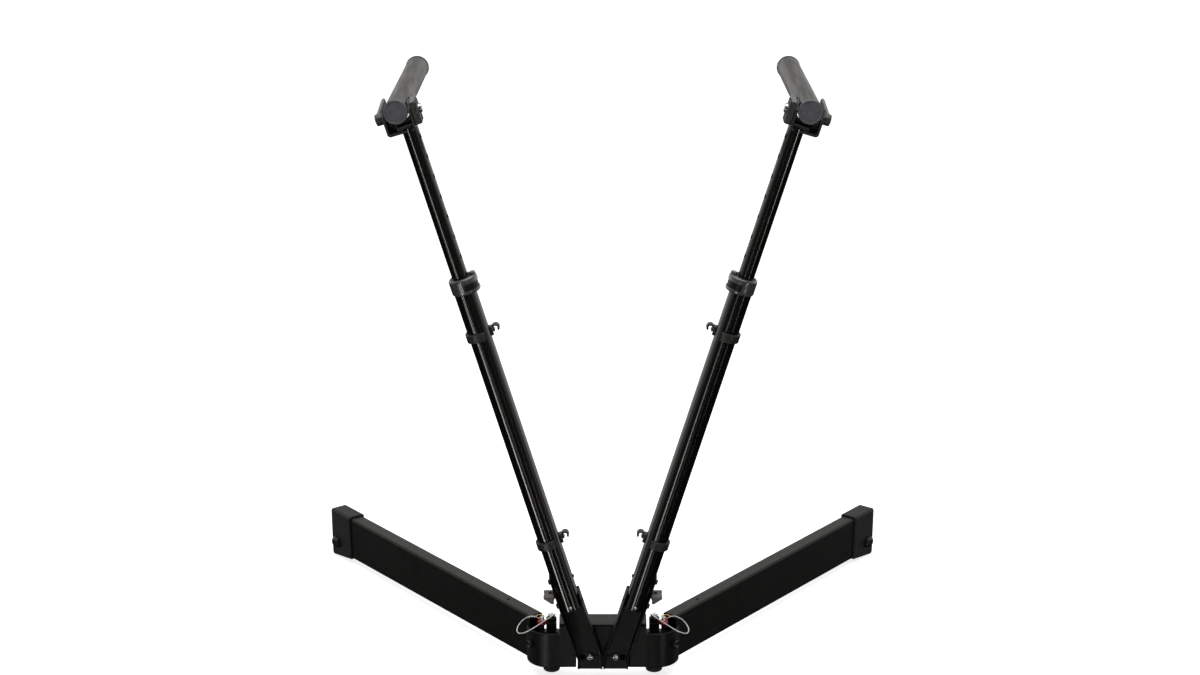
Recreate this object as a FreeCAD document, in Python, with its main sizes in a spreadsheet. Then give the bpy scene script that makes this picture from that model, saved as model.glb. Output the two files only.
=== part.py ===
"""Folding stand for a keyboard: two leaning telescopic columns on a small hub with two folding legs.

Frame: origin on the floor at the middle of the footprint, +Z up, +X to the right as seen from the
front, +Y from the front towards the back, where the legs and the arms point. Millimetres.
Everything on the right is built once, in a frame of its own, and mirrored to the left.
"""
import FreeCAD, Part
import math
import os
import re
import Sketcher

Vector = FreeCAD.Vector
Rotation = FreeCAD.Rotation
Placement = FreeCAD.Placement

# Driving dimensions: alias, millimetres or degrees, meaning.
DIMENSIONS = [
    ("pivot_line_y", -205.435, "line of the two leg pivots, in front of the middle of the footprint"),
    ("gap", 0.3, "clearance between pieces that move past each other"),
    ("fit", 0.1, "radial clearance of a running fit"),
    # Hub beam, a rounded box section lying across the front.
    ("hub_half", 70.0, "half length of the beam"),
    ("hub_front", -40.0, "front face, from the pivot line"),
    ("hub_back", 2.0, "back face, from the pivot line"),
    ("hub_bottom", 21.0, "underside above the floor"),
    ("hub_top", 99.0, "top above the floor"),
    ("hub_wall", 3.0, "wall of the beam"),
    ("hub_round", 5.0, "outer radius of its long corners"),
    ("slit_width", 2.5, "saw cut under the front"),
    ("slit_height", 26.5, "height of the saw cuts"),
    ("slit_left", -41.5, "middle of the left saw cut"),
    ("slit_right", 42.6, "middle of the right saw cut"),
    # Leg sockets, the two rounded cups at the ends of the beam.
    ("pivot_x", 83.0, "leg pivot, from the middle"),
    ("cup_radius", 40.0, "outer radius of the cup's wall"),
    ("cup_wall", 3.5, "thickness of the cup's wall"),
    ("cup_top", 80.0, "rim above the floor"),
    ("cup_end_angle", 88.0, "where the wall meets the leg, from straight ahead"),
    ("floor_plate", 4.0, "thickness of both pivot plates"),
    ("upper_plate", 62.0, "underside of the upper pivot plate"),
    ("plate_back_radius", 17.9, "pivot plates behind the pivot, clear of the leg tube"),
    ("plate_end_angle", 80.0, "where the wide part of the plates ends"),
    ("pivot_radius", 6.25, "shank of the leg pivot"),
    ("nut_radius", 8.6, "nut of the leg pivot"),
    ("nut_top", 95.7, "top of the pivot stack"),
    ("washer_radius", 10.9, "washer of the leg pivot"),
    ("washer_sheet", 2.0, "thickness of that washer"),
    ("groove_depth", 1.0, "groove of the nut"),
    ("groove_start", 14.5, "groove under the top of the pivot stack"),
    ("groove_end", 12.0, "upper end of the groove, under that top"),
    ("groove_bevel", 0.5, "bevel of the groove"),
    ("nut_bevel", 3.0, "bevel of the nut, along the pivot"),
    ("nut_bevel_across", 1.8, "bevel of the nut, across"),
    ("foot_radius", 13.5, "rubber foot"),
    ("foot_bevel", 2.0, "bevel of the foot's sole"),
    ("foot_step", 1.2, "step of the foot"),
    ("foot_step_at", 8.0, "foot's step under the beam"),
    ("foot_step_rise", 1.0, "height of the step's slope"),
    # Spring button of the cup and pull pin of the leg.
    ("button_angle", 52.0, "direction of the button from straight ahead"),
    ("button_height", 58.0, "middle of the button above the floor"),
    ("button_radius", 6.7, "head of the button"),
    ("button_flange", 5.5, "inner flange of the button"),
    ("button_inner", 31.5, "inner end of the button, from the leg pivot"),
    ("button_travel", 2.5, "travel of the button"),
    ("button_shank", 4.0, "shank of the button"),
    ("flange_start", 2.6, "inner flange, from the button's inner end"),
    ("flange_end", 4.1, "end of the flange"),
    ("button_neck", 2.5, "neck of the button outside the cup"),
    ("button_rim", 3.2, "button's rim outside the cup"),
    ("button_side", 6.5, "outer end of the button's straight side"),
    ("button_face", 8.0, "face of the button outside the cup"),
    ("button_bevel", 1.5, "bevel of the button's face"),
    ("pin_x", 15.0, "pull pin outside the pivot"),
    ("pin_y", -6.2, "pull pin in front of the pivot"),
    ("pin_radius", 4.0, "shank of the pull pin"),
    ("pin_collar", 7.4, "red collar of the pull pin"),
    ("collar_rise", 3.2, "red collar above the cup's rim"),
    ("collar_end", 9.8, "top of the red collar above the cup's rim"),
    ("pin_head", 3.5, "head of the pull pin"),
    ("pin_head_end", 16.3, "top of the pull pin above the cup's rim"),
    ("pin_point", 1.5, "point of the pull pin, across"),
    ("pin_point_rise", 3.0, "point of the pull pin, along it"),
    ("ring_x", 18.6, "middle of the split ring, outside the pivot"),
    ("ring_y", -0.35, "middle of the split ring, behind the pivot"),
    ("ring_rise", 14.0, "middle of the split ring above the cup's rim"),
    ("ring_radius", 6.9, "split ring, to the middle of its wire"),
    ("ring_wire", 0.9, "radius of the split ring's wire"),
    ("cord_radius", 1.1, "radius of the lanyard"),
    ("barrel_wall", 0.7, "wall of the lanyard's barrels"),
    ("barrel_length", 5.5, "barrel of the ring terminal"),
    ("crimp_length", 2.0, "crimp beside the split ring"),
    ("terminal_radius", 6.0, "ring terminal on the pivot stack"),
    ("terminal_bore", 3.2, "hole of the ring terminal"),
    ("terminal_sheet", 1.4, "thickness of the ring terminal"),
    # Legs.
    ("leg_angle", 37.2, "opening of each leg from straight back"),
    ("leg_slope", 1.1, "fall of each leg towards its end"),
    ("leg_width", 25.0, "width of the leg tube"),
    ("leg_height", 75.0, "height of the leg tube"),
    ("leg_wall", 2.5, "wall of the leg tube"),
    ("leg_round", 3.0, "corner radius of the leg tube"),
    ("leg_offset", 16.7, "middle of the leg tube outside the pivot"),
    ("leg_start", 18.7, "inner end of the leg tube, from the pivot"),
    ("leg_end", 612.0, "outer end of the leg tube, from the pivot"),
    ("leg_mid_height", 58.6, "middle of the leg tube above the floor at the pivot"),
    ("leg_hole", 2.6, "radius of the small hole in the leg's top"),
    ("leg_hole_at", 95.7, "small hole, from the pivot"),
    ("cap_length", 62.0, "plastic cap of the leg"),
    ("cap_side", 3.5, "cap proud of the tube's sides"),
    ("cap_above", 3.0, "cap proud of the tube's top"),
    ("cap_below_inner", 2.0, "cap under the tube at its inner end"),
    ("cap_below_outer", 9.2, "cap under the tube at its outer end"),
    ("cap_end", 9.0, "cap beyond the tube's end"),
    ("cap_bevel", 5.0, "bevel of the cap's end, along the leg"),
    ("cap_toe", 4.0, "lower corner of the cap's end under the tube"),
    ("cap_brow", 3.0, "upper corner of the cap's end under the tube's top"),
    ("cap_edge", 3.2, "rounding of the cap's long edges"),
    ("cap_screw_at", 601.0, "cap screw, from the pivot"),
    ("cap_screw_drop", -17.5, "cap screw under the middle of the tube"),
    ("cap_screw_radius", 9.9, "head of the cap screw"),
    ("cap_screw_head", 8.2, "top of the cap screw, above the cap"),
    ("cap_screw_shank", 2.9, "shank of the cap screw"),
    ("cap_screw_length", 14.0, "shank of the cap screw under the cap's side"),
    ("cap_washer", 10.8, "washer of the cap screw"),
    ("cap_washer_sheet", 1.4, "thickness of that washer"),
    ("cross_arm", 3.4, "half length of the cross recess"),
    ("cross_width", 0.8, "half width of the cross recess"),
    ("cross_floor", 6.2, "floor of the cross recess above the cap"),
    # Knuckle, the block in the leg's root that turns on the pivot.
    ("knuckle_bottom", 25.3, "underside of the knuckle"),
    ("knuckle_top", 61.7, "top of the knuckle"),
    ("knuckle_boss", 12.4, "radius round the pivot"),
    ("knuckle_bridge", 15.4, "width of the bridge from the boss to the tongue"),
    ("knuckle_lobe", 25.0, "radius of the lobe that the pull pin locks"),
    ("lobe_start", -50.0, "direction in which the lobe starts, from the leg's outside"),
    ("lobe_span", 95.0, "angle that the lobe fills"),
    ("root_gap", 1.0, "knuckle short of the tube's sawn end"),
    ("tongue_end", 83.0, "end of the tongue in the leg tube"),
    # Columns.
    ("column_x", 20.2, "column pivot, from the middle"),
    ("column_y", -61.0, "columns' plane, from the leg pivots"),
    ("column_z", 42.5, "column pivot above the floor"),
    ("column_tilt", 17.0, "lean of each column"),
    ("lower_radius", 17.5, "lower tube"),
    ("tube_wall", 2.0, "wall of the round tubes"),
    ("lower_start", 100.0, "lower end of the lower tube, up the column"),
    ("lower_end", 672.0, "upper end of the lower tube"),
    ("upper_radius", 12.6, "upper tube"),
    ("upper_start", 470.0, "lower end of the upper tube"),
    ("upper_end", 921.0, "upper end of the upper tube"),
    ("index_hole", 3.7, "radius of the height holes"),
    ("index_pitch", 32.8, "distance between the height holes"),
    ("index_top", 903.0, "highest height hole"),
    ("index_count", 7, "number of height holes"),
    ("index_turn", 190.0, "direction of the height holes, from the outside"),
    ("bushing_depth", 35.0, "bushing in the mouth of the lower tube"),
    ("bushing_fit", 0.05, "bushing's and collar's clearance on the lower tube"),
    ("bushing_step", 0.5, "bushing's flange under the collar's top"),
    ("bracket_half", 19.6, "half width of the bracket"),
    ("bracket_sheet", 2.0, "sheet of the bracket"),
    ("bracket_back", 20.7, "back face of the bracket, behind the column's axis"),
    ("bracket_inner_top", 124.0, "top of the inner cheek"),
    ("bracket_outer_top", 160.0, "top of the outer cheek"),
    ("bracket_edge_low", 8.0, "front edge of the cheeks at their foot, behind the column's axis"),
    ("bracket_edge_wide", -10.0, "front edge of the cheeks at the tube's end"),
    ("bracket_edge_top", -8.0, "front edge of the cheeks at their top"),
    ("bracket_foot", -2.0, "foot of the cheeks"),
    ("bracket_spread", 0.8, "outer low cheek outside the tall one"),
    ("low_cheek_front", 9.0, "front edge of the low cheeks"),
    ("low_back_top", 5.0, "top of the upright part of the back, above the pivot"),
    ("low_inner_top", 2.0, "top of the inner low cheek"),
    ("low_outer_top", 4.0, "top of the outer low cheek"),
    ("lug_back", 8.0, "back face of the hinge lug, behind the column's axis"),
    ("lug_half", 5.0, "half height of the hinge lug"),
    ("lug_reach", 4.0, "hinge lug outside the hinge"),
    ("column_screw", 4.0, "shank of the column's pivot screw"),
    ("screw_flange", 7.6, "flange of the column's pivot screw"),
    ("screw_flange_top", 1.8, "front of that flange, above the bracket"),
    ("screw_head", 6.2, "rounded head of the column's pivot screw"),
    ("screw_head_top", 4.8, "front of that head, above the bracket"),
    ("screw_recess", 2.5, "recess in that head"),
    ("screw_recess_floor", 3.0, "floor of the recess, above the bracket"),
    ("screw_nut", 8.0, "nut of the column's pivot screw"),
    ("screw_nut_height", 6.5, "height of that nut"),
    ("bolt_low", 107.0, "lower bolt of the bracket"),
    ("bolt_high", 150.5, "upper bolt of the bracket"),
    ("bolt_back", 2.0, "both bolts, behind the column's axis"),
    ("bolt_shank", 3.0, "shank of both bolts"),
    ("bolt_head", 5.2, "head of both bolts"),
    ("bolt_head_side", 2.0, "straight part of the head"),
    ("bolt_head_top", 3.6, "top of the head"),
    ("bolt_face", 3.4, "flat top of the head"),
    ("bolt_end", 1.5, "bolt's end beyond what it goes through"),
    ("release_u", 22.5, "hinge of the release lever, outside the axis"),
    ("release_v", 126.0, "hinge of the release lever, up the column"),
    ("release_inner", -1.2, "inner end of the release lever, from its hinge"),
    ("release_outer", 15.5, "outer end of the release lever"),
    ("release_under", 2.5, "outer end of its flat underside"),
    ("release_bottom", -8.0, "underside of the release lever"),
    ("release_lip", 1.2, "lower edge of its outer end"),
    ("release_top", 4.5, "top of the release lever"),
    ("release_front", -14.0, "front of the release lever"),
    ("release_back", 16.0, "back of the release lever"),
    ("fork_end", 6.5, "outer end of the fork's gap"),
    ("release_pin", 2.0, "hinge pin of the release lever"),
    ("release_pin_front", -12.0, "front end of the hinge pin"),
    ("release_pin_length", 26.0, "length of the hinge pin"),
    # Collar and cable clips.
    ("collar_bottom", 648.5, "underside of the collar"),
    ("collar_top", 674.0, "top of the collar"),
    ("collar_radius", 21.5, "collar's round"),
    ("collar_shift", 4.0, "collar's lobe towards the inside"),
    ("collar_slim", 1.7, "collar's plain round less than its lobe"),
    ("recess_rise", 6.0, "recess of the collar above its underside"),
    ("recess_height", 10.5, "height of the recess"),
    ("recess_core", 1.2, "wall that stays between recess and tube"),
    ("recess_heel", -2.0, "end of the recess in front, outside the column's axis"),
    ("recess_tip", 12.0, "end of the recess behind"),
    ("catch_skin", 0.3, "catch lever inside the collar's outer face"),
    ("catch_room", 0.4, "catch lever clear of the recess's inner wall"),
    ("catch_heel", -3.6, "heel of the catch lever"),
    ("catch_tip", 10.0, "tip of the catch lever"),
    ("catch_x", -4.5, "pin of the catch lever"),
    ("catch_y", -19.6, "pin of the catch lever, in front of the column's axis"),
    ("catch_pin", 1.2, "radius of that pin"),
    ("catch_pin_end", 4.0, "ends of that pin inside the collar's faces"),
    ("boss_at", -19.0, "hinge boss on the collar, from the column's axis"),
    ("boss_radius", 5.5, "hinge boss on the collar"),
    ("boss_rise", 4.2, "hinge boss above the collar"),
    ("boss_bevel", 1.2, "height of the boss's bevel"),
    ("boss_top", 4.0, "flat top of the boss"),
    ("clip_height", 14.0, "height of a cable clip"),
    ("clip_radius", 21.4, "outer radius of a cable clip"),
    ("clip_low", 217.4, "middle of the lower clip"),
    ("clip_high", 577.5, "middle of the upper clip"),
    ("clip_mouth_inner", -10.5, "clip's ring opens inside this line"),
    ("clip_mouth_back", -2.0, "clip's ring opens in front of this line"),
    ("web_inner", -22.0, "web of the clip's hook, at the inside"),
    ("web_outer", -14.0, "web of the clip's hook, in the ring"),
    ("web_front", 11.0, "front of the web"),
    ("web_back", 19.0, "back of the web"),
    ("web_half", 5.0, "half height of the web"),
    ("hook_radius", 6.5, "outer radius of the clip's hook"),
    ("hook_wall", 2.1, "wall of the hook"),
    ("hook_x", -26.5, "middle of the hook"),
    ("hook_front", 9.0, "front of the hook"),
    ("hook_width", 12.0, "width of the hook"),
    ("mouth_half", 2.5, "half width of the hook's mouth"),
    ("mouth_top", -2.0, "top of the hook's mouth, from its middle"),
    ("mouth_bottom", -9.0, "bottom of the hook's mouth, from its middle"),
    # Head of the column and arm.
    ("bolt_u", 11.75, "middle of the arm, outside the column's axis"),
    ("bolt_y", 6.0, "cross bolt behind the column's axis"),
    ("bolt_v", 942.0, "cross bolt, up the column"),
    ("bolt_radius", 4.0, "cross bolt"),
    ("yoke_inside", 19.4, "half the gap of the yoke"),
    ("yoke_sheet", 3.0, "cheeks of the yoke"),
    ("yoke_bottom", 915.0, "underside of the yoke"),
    ("yoke_top", 958.0, "top of the yoke's cheeks"),
    ("yoke_half", 18.0, "half depth of the yoke"),
    ("yoke_front_corner", 5.0, "front upper corner of the cheeks, above the cross bolt"),
    ("yoke_back_corner", 8.0, "back upper corner of the cheeks, above the cross bolt"),
    ("yoke_top_front", -9.0, "front end of the cheeks' top"),
    ("yoke_top_back", 10.0, "back end of the cheeks' top"),
    ("saddle_outer", 7.0, "outer side of the block round the upper tube's end, from the cross bolt's middle"),
    ("saddle_front", -14.0, "front of that block"),
    ("saddle_back", 10.0, "back of that block"),
    ("saddle_top", -16.5, "top of that block, under the cross bolt"),
    ("cradle_half", 3.0, "half thickness of the rib under the arm"),
    ("cradle_room", 1.5, "rib clear of the arm tube"),
    ("cradle_top", -4.8, "upper ends of the rib, under the cross bolt"),
    ("back_wall_front", 14.0, "front of the yoke's low back wall"),
    ("back_wall_top", -18.0, "top of that wall, under the cross bolt"),
    ("block_depth", 9.0, "clamp block, from the inner cheek"),
    ("block_front", -15.0, "front of the clamp block"),
    ("block_back", 20.0, "back of the clamp block"),
    ("block_bottom", -21.0, "underside of the clamp block"),
    ("block_top", 15.0, "top of the clamp block"),
    ("rib_depth", 11.4, "ribs of the clamp block, from the inner cheek"),
    ("rib_width", 4.0, "width of a rib"),
    ("rib_second", 5.0, "front of the second rib"),
    ("block_hole", 1.6, "small hole in the clamp block"),
    ("block_hole_drop", -13.0, "small hole under the cross bolt"),
    ("head_radius", 7.2, "head of the cross bolt"),
    ("head_bevel", 1.2, "bevel of that head, across"),
    ("head_side", 2.6, "straight part of that head"),
    ("head_height", 4.1, "height of that head"),
    ("bolt_stub", 3.0, "cross bolt beyond the outer cheek"),
    ("arm_tilt", 3.5, "fall of the arms towards the back"),
    ("arm_radius", 18.2, "arm tube"),
    ("arm_rise", 6.2, "middle of the arm above the cross bolt"),
    ("arm_front", -14.0, "front end of the arm tube, from the cross bolt"),
    ("arm_back", 376.0, "back end of the arm tube"),
    ("arm_wall", 2.5, "wall of the arm tube"),
    ("arm_cap", 19.1, "radius of the arm's end caps"),
    ("arm_cap_thick", 3.0, "thickness of the end caps"),
    ("arm_cap_bevel", 2.0, "bevel of the end caps, across"),
    ("arm_cap_rise", 1.4, "bevel of the end caps, along the arm"),
    ("plug_end", 8.0, "inner end of a cap's plug"),
    ("plug_radius", 15.65, "radius of the plug"),
    ("plug_bore", 13.7, "bore of the plug"),
    ("plug_floor", 3.5, "floor of the plug's bore"),
    ("stay_sheet", 2.0, "sheet of the arm's stay"),
    ("stay_inner", -22.1, "inner face of the stay, from the arm's middle"),
    ("stay_front", 24.0, "front edge of the stay, behind the cross bolt"),
    ("stay_knee", 34.0, "widest part of the stay"),
    ("stay_back", 92.0, "back edge of the stay"),
    ("stay_top", 16.0, "top of the stay"),
    ("stay_bottom", -14.0, "underside of the stay"),
    ("stay_front_top", 14.0, "top of the stay's front edge"),
    ("stay_front_bottom", -4.0, "bottom of the stay's front edge"),
    ("stay_back_top", 9.0, "top of the stay's back edge"),
    ("stay_back_bottom", 3.0, "bottom of the stay's back edge"),
    ("pad_outer", -12.0, "outer side of the stay's pad"),
    ("pad_front", 36.0, "front of the pad"),
    ("pad_back", 86.0, "back of the pad"),
    ("pad_bottom", 1.0, "underside of the pad"),
    ("pad_top", 11.0, "top of the pad"),
    ("handle_length", 115.0, "clamp handle, from the cross bolt"),
    ("handle_hub", 9.0, "hub of the clamp handle"),
    ("handle_hub_height", 12.0, "height of that hub"),
    ("grip_start", 4.0, "inner side of the grip, from the yoke"),
    ("grip_width", 7.5, "width of the grip"),
    ("grip_root", 8.5, "half height of the grip at its root"),
    ("grip_neck", 25.0, "where its underside straightens"),
    ("grip_shoulder", 30.0, "where its top straightens"),
    ("grip_neck_drop", -6.0, "underside there"),
    ("grip_shoulder_rise", 7.0, "top there"),
    ("grip_tip_drop", -4.0, "underside near its tip"),
    ("grip_tip_rise", 6.0, "top near its tip"),
    ("grip_tip_under", 6.0, "lower bevel of its tip, along the grip"),
    ("grip_tip_over", 3.0, "upper bevel of its tip, along the grip"),
]

doc = FreeCAD.newDocument("KeyboardStand")
sheet = doc.addObject("Spreadsheet::Sheet", "Sizes")
for row, (alias, number, meaning) in enumerate(DIMENSIONS, start=1):
    sheet.set("A%d" % row, meaning)
    sheet.set("B%d" % row, str(number))
    sheet.setAlias("B%d" % row, alias)
doc.recompute()

ALIASES = {alias for alias, number, meaning in DIMENSIONS}
UPWARD = Vector(0, 0, 1)
BACKWARD = Vector(0, 1, 0)
OUTWARD = Vector(1, 0, 0)
AXES = {
    "x": Rotation(Vector(0, 1, 0), 90),
    "y": Rotation(Vector(1, 0, 0), -90),
    "z": Rotation(),
}
# Radius of the circle on which an outline's corners stand before their dimensions place them.
START_RADIUS = 50
pieces = []


def size(alias):
    """Value of a driving dimension."""
    return float(sheet.get(alias))


def bind(item, prop, formula):
    """Bind a property to a formula of driving dimensions."""
    text = re.sub(r"[a-z][a-z_]+", lambda word: "Sizes." + word[0] if word[0] in ALIASES else word[0],
                  str(formula))
    item.setExpression(prop, text)


def put(item, at, along="z"):
    """Place a primitive at a point given as three formulas, its own Z along an axis."""
    item.Placement = Placement(Vector(), AXES[along])
    for letter, formula in zip("xyz", at):
        bind(item, "Placement.Base." + letter, formula)
    return item


def cylinder(radius, height, at=(0, 0, 0), along="z"):
    item = doc.addObject("Part::Cylinder", "Cylinder")
    bind(item, "Radius", radius)
    bind(item, "Height", height)
    return put(item, at, along)


def box(x0, x1, y0, y1, z0, z1):
    """Box between two values on each axis, given as formulas."""
    item = doc.addObject("Part::Box", "Box")
    bind(item, "Length", "(%s) - (%s)" % (x1, x0))
    bind(item, "Width", "(%s) - (%s)" % (y1, y0))
    bind(item, "Height", "(%s) - (%s)" % (z1, z0))
    return put(item, (x0, y0, z0))


def fuse(*parts):
    item = doc.addObject("Part::MultiFuse", "Fuse")
    item.Shapes = list(parts)
    item.Refine = True
    return item


def cut(base, *tools):
    item = doc.addObject("Part::Cut", "Cut")
    item.Base = base
    item.Tool = tools[0] if len(tools) == 1 else fuse(*tools)
    item.Refine = True
    return item


def common(first, second):
    item = doc.addObject("Part::Common", "Common")
    item.Base = first
    item.Tool = second
    return item


def group(*parts):
    """Identical or paired solids that share one node."""
    item = doc.addObject("Part::Compound", "Group")
    item.Links = list(parts)
    return item


def turned(item, about, degrees, to=(0, 0, 0)):
    """A solid turned about a line through the origin, then moved."""
    holder = group(item)
    holder.Placement = Placement(Vector(*to), Rotation(about, degrees))
    return holder


def sketch_in(body, role):
    """Sketch on one of the body's own origin planes."""
    sketch = body.newObject("Sketcher::SketchObject", "Sketch")
    face = next(feature for feature in body.Origin.OriginFeatures if feature.Role == role)
    sketch.AttachmentSupport = (face, [""])
    sketch.MapMode = "FlatFace"
    return sketch


def outline(sketch, points):
    """Closed outline of straight lines through points given as pairs of formulas."""
    count = len(points)
    first = sketch.GeometryCount
    start = [Vector(math.cos(math.tau * i / count), math.sin(math.tau * i / count)) * START_RADIUS
             for i in range(count)]
    for i in range(count):
        sketch.addGeometry(Part.LineSegment(start[i], start[(i + 1) % count]), False)
    for i, point in enumerate(points):
        after = first + (i + 1) % count
        sketch.addConstraint(Sketcher.Constraint("Coincident", first + i, 2, after, 1))
        for kind, formula, value in zip(("DistanceX", "DistanceY"), point, (start[i].x, start[i].y)):
            index = sketch.addConstraint(Sketcher.Constraint(kind, -1, 1, first + i, 1, value))
            bind(sketch, "Constraints[%d]" % index, formula)


def turned_body(points):
    """Body turned about Z from an outline of radius and height pairs."""
    body = doc.addObject("PartDesign::Body", "Body")
    sketch = sketch_in(body, "XZ_Plane")
    outline(sketch, points)
    doc.recompute()
    turn = body.newObject("PartDesign::Revolution", "Revolution")
    turn.Profile = sketch
    turn.ReferenceAxis = (sketch, ["V_Axis"])
    turn.Angle = 360
    return body


def padded_body(role, points, length, start=0):
    """Body padded from an outline on an origin plane, from start along the plane's normal."""
    body = doc.addObject("PartDesign::Body", "Body")
    sketch = sketch_in(body, role)
    outline(sketch, points)
    bind(sketch, "AttachmentOffset.Base.z", start)
    doc.recompute()
    pad = body.newObject("PartDesign::Pad", "Pad")
    pad.Profile = sketch
    bind(pad, "Length", length)
    return body


def pocket(body, role, points):
    """Pocket right through a body, checked by its volume."""
    doc.recompute()
    before = body.Shape.Volume
    sketch = sketch_in(body, role)
    outline(sketch, points)
    doc.recompute()
    cutter = body.newObject("PartDesign::Pocket", "Pocket")
    cutter.Profile = sketch
    cutter.Type = "ThroughAll"
    cutter.SideType = "Symmetric"
    doc.recompute()
    if body.Shape.Volume >= before:
        raise ValueError("a pocket of " + body.Label + " cuts nothing")
    return body


def rounded(body, radius, direction):
    """Fillet of all the straight edges of a body that run along a direction."""
    doc.recompute()
    names = []
    for number, edge in enumerate(body.Shape.Edges, start=1):
        along = edge.Vertexes[-1].Point - edge.Vertexes[0].Point
        if isinstance(edge.Curve, Part.Line) and along.cross(direction).Length < 1e-6 * along.Length:
            names.append("Edge%d" % number)
    last_feature = body.Tip
    fillet = body.newObject("PartDesign::Fillet", "Fillet")
    fillet.Base = (last_feature, names)
    bind(fillet, "Radius", radius)
    doc.recompute()
    return body


def rectangle(x0, x1, y0, y1):
    return [(x0, y0), (x1, y0), (x1, y1), (x0, y1)]


def tube_body(outer, inner, bottom, top):
    """Plain round tube about Z."""
    return turned_body(rectangle(inner, outer, bottom, top))


def keep(name, item, frame=Placement()):
    """Name a finished sub-part and put it in its frame."""
    item.Label = name
    item.Placement = frame.multiply(item.Placement)
    pieces.append(item)


def both_sides(item, frame):
    """The right solid in its frame and its mirror image on the left."""
    item.Placement = frame.multiply(item.Placement)
    left = doc.addObject("Part::Mirroring", "Mirror")
    left.Source = item
    left.Normal = Vector(1, 0, 0)
    return item, left


def keep_pair(name, item, frame=Placement()):
    """Keep a sub-part on the right and its mirror image on the left."""
    for side, half in zip(("_right", "_left"), both_sides(item, frame)):
        keep(name + side, half)


# Frames of the right side.
origin_frame = Placement(Vector(0, size("pivot_line_y"), 0), Rotation())
pivot_frame = Placement(Vector(size("pivot_x"), size("pivot_line_y"), 0), Rotation())
knuckle_frame = pivot_frame.multiply(Placement(Vector(), Rotation(UPWARD, -size("leg_angle"))))
leg_frame = knuckle_frame.multiply(
    Placement(Vector(0, 0, size("leg_mid_height")), Rotation(OUTWARD, -size("leg_slope"))))
column_frame = Placement(
    Vector(size("column_x"), size("pivot_line_y") + size("column_y"), size("column_z")),
    Rotation(BACKWARD, size("column_tilt")))
head_frame = column_frame.multiply(
    Placement(Vector(size("bolt_u"), size("bolt_y"), size("bolt_v")), Rotation()))
arm_frame = head_frame.multiply(Placement(Vector(), Rotation(OUTWARD, -size("arm_tilt"))))
LEVEL = Rotation(BACKWARD, -size("column_tilt"))


def hub_beam():
    """Rounded box section across the front, with two screw holes and two saw cuts."""
    beam = padded_body("YZ_Plane", rectangle("hub_front", "hub_back", "hub_bottom", "hub_top"),
                       "2 * hub_half", "-hub_half")
    rounded(beam, "hub_round", OUTWARD)
    pocket(beam, "YZ_Plane", rectangle("hub_front + hub_wall", "hub_back - hub_wall",
                                       "hub_bottom + hub_wall", "hub_top - hub_wall"))
    screw_holes = [cylinder("column_screw + fit", "hub_wall + 2", (x, "hub_front - 1", "column_z"), "y")
                   for x in ("column_x", "-column_x")]
    full_slit = box("slit_left - slit_width / 2", "slit_left + slit_width / 2", "hub_front - 1",
                    "hub_back + 1", "hub_bottom - 1", "hub_bottom + slit_height")
    front_slit = box("slit_right - slit_width / 2", "slit_right + slit_width / 2", "hub_front - 1",
                     "hub_front + hub_wall + 1", "hub_bottom - 1", "hub_bottom + slit_height")
    keep("hub_beam", cut(beam, full_slit, front_slit, *screw_holes), origin_frame)


def sector(radius, height, start, first, last):
    """Part of a disc between two directions, counted from straight ahead towards the outside."""
    disc = cylinder(radius, height, (0, 0, start))
    disc.Angle = last - first
    disc.Placement.Rotation = Rotation(UPWARD, first - 90)
    return disc


def socket_plate(bottom):
    """Pivot plate: wide in front of the pivot, narrow behind it, where the leg's root turns."""
    round_back = cut(
        cylinder("plate_back_radius", "floor_plate", (0, 0, bottom)),
        box("-plate_back_radius", "hub_half - pivot_x", "-plate_back_radius", "plate_back_radius", bottom,
            "(%s) + floor_plate" % bottom))
    return fuse(
        sector("cup_radius - cup_wall", "floor_plate", bottom, 0, size("plate_end_angle")),
        round_back,
        box("hub_half - pivot_x", 0, "-cup_radius + cup_wall", "plate_back_radius - 4", bottom,
            "(%s) + floor_plate" % bottom))


def leg_socket():
    """Cup at the beam's end: a bent wall, two pivot plates and the holes for pivot, pin and button."""
    tall = "cup_top - hub_bottom"
    wall = cut(sector("cup_radius", tall, "hub_bottom", 0, size("cup_end_angle")),
               cylinder("cup_radius - cup_wall", tall, (0, 0, "hub_bottom")))
    straight = box("hub_half - pivot_x", 0, "-cup_radius", "-cup_radius + cup_wall", "hub_bottom", "cup_top")
    body = fuse(wall, straight, socket_plate("hub_bottom"), socket_plate("upper_plate"))
    pivot_hole = cylinder("pivot_radius + fit", "cup_top", (0, 0, 0))
    pin_hole = cylinder("pin_radius + fit", "cup_top", ("pin_x", "pin_y", 0))
    button_hole = turned(cylinder("button_shank + fit", "cup_radius + 2", (0, 0, "button_height"), "x"),
                         UPWARD, size("button_angle") - 90)
    bore = cut(button_hole, cylinder("button_inner", "cup_top"))
    room_start = "button_inner - button_travel - gap"
    flange_room = turned(
        cylinder("button_flange + gap", "cup_radius - cup_wall - (%s)" % room_start,
                 (room_start, 0, "button_height"), "x"), UPWARD, size("button_angle") - 90)
    keep_pair("leg_socket", cut(body, pivot_hole, pin_hole, bore, flange_room), pivot_frame)


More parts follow.
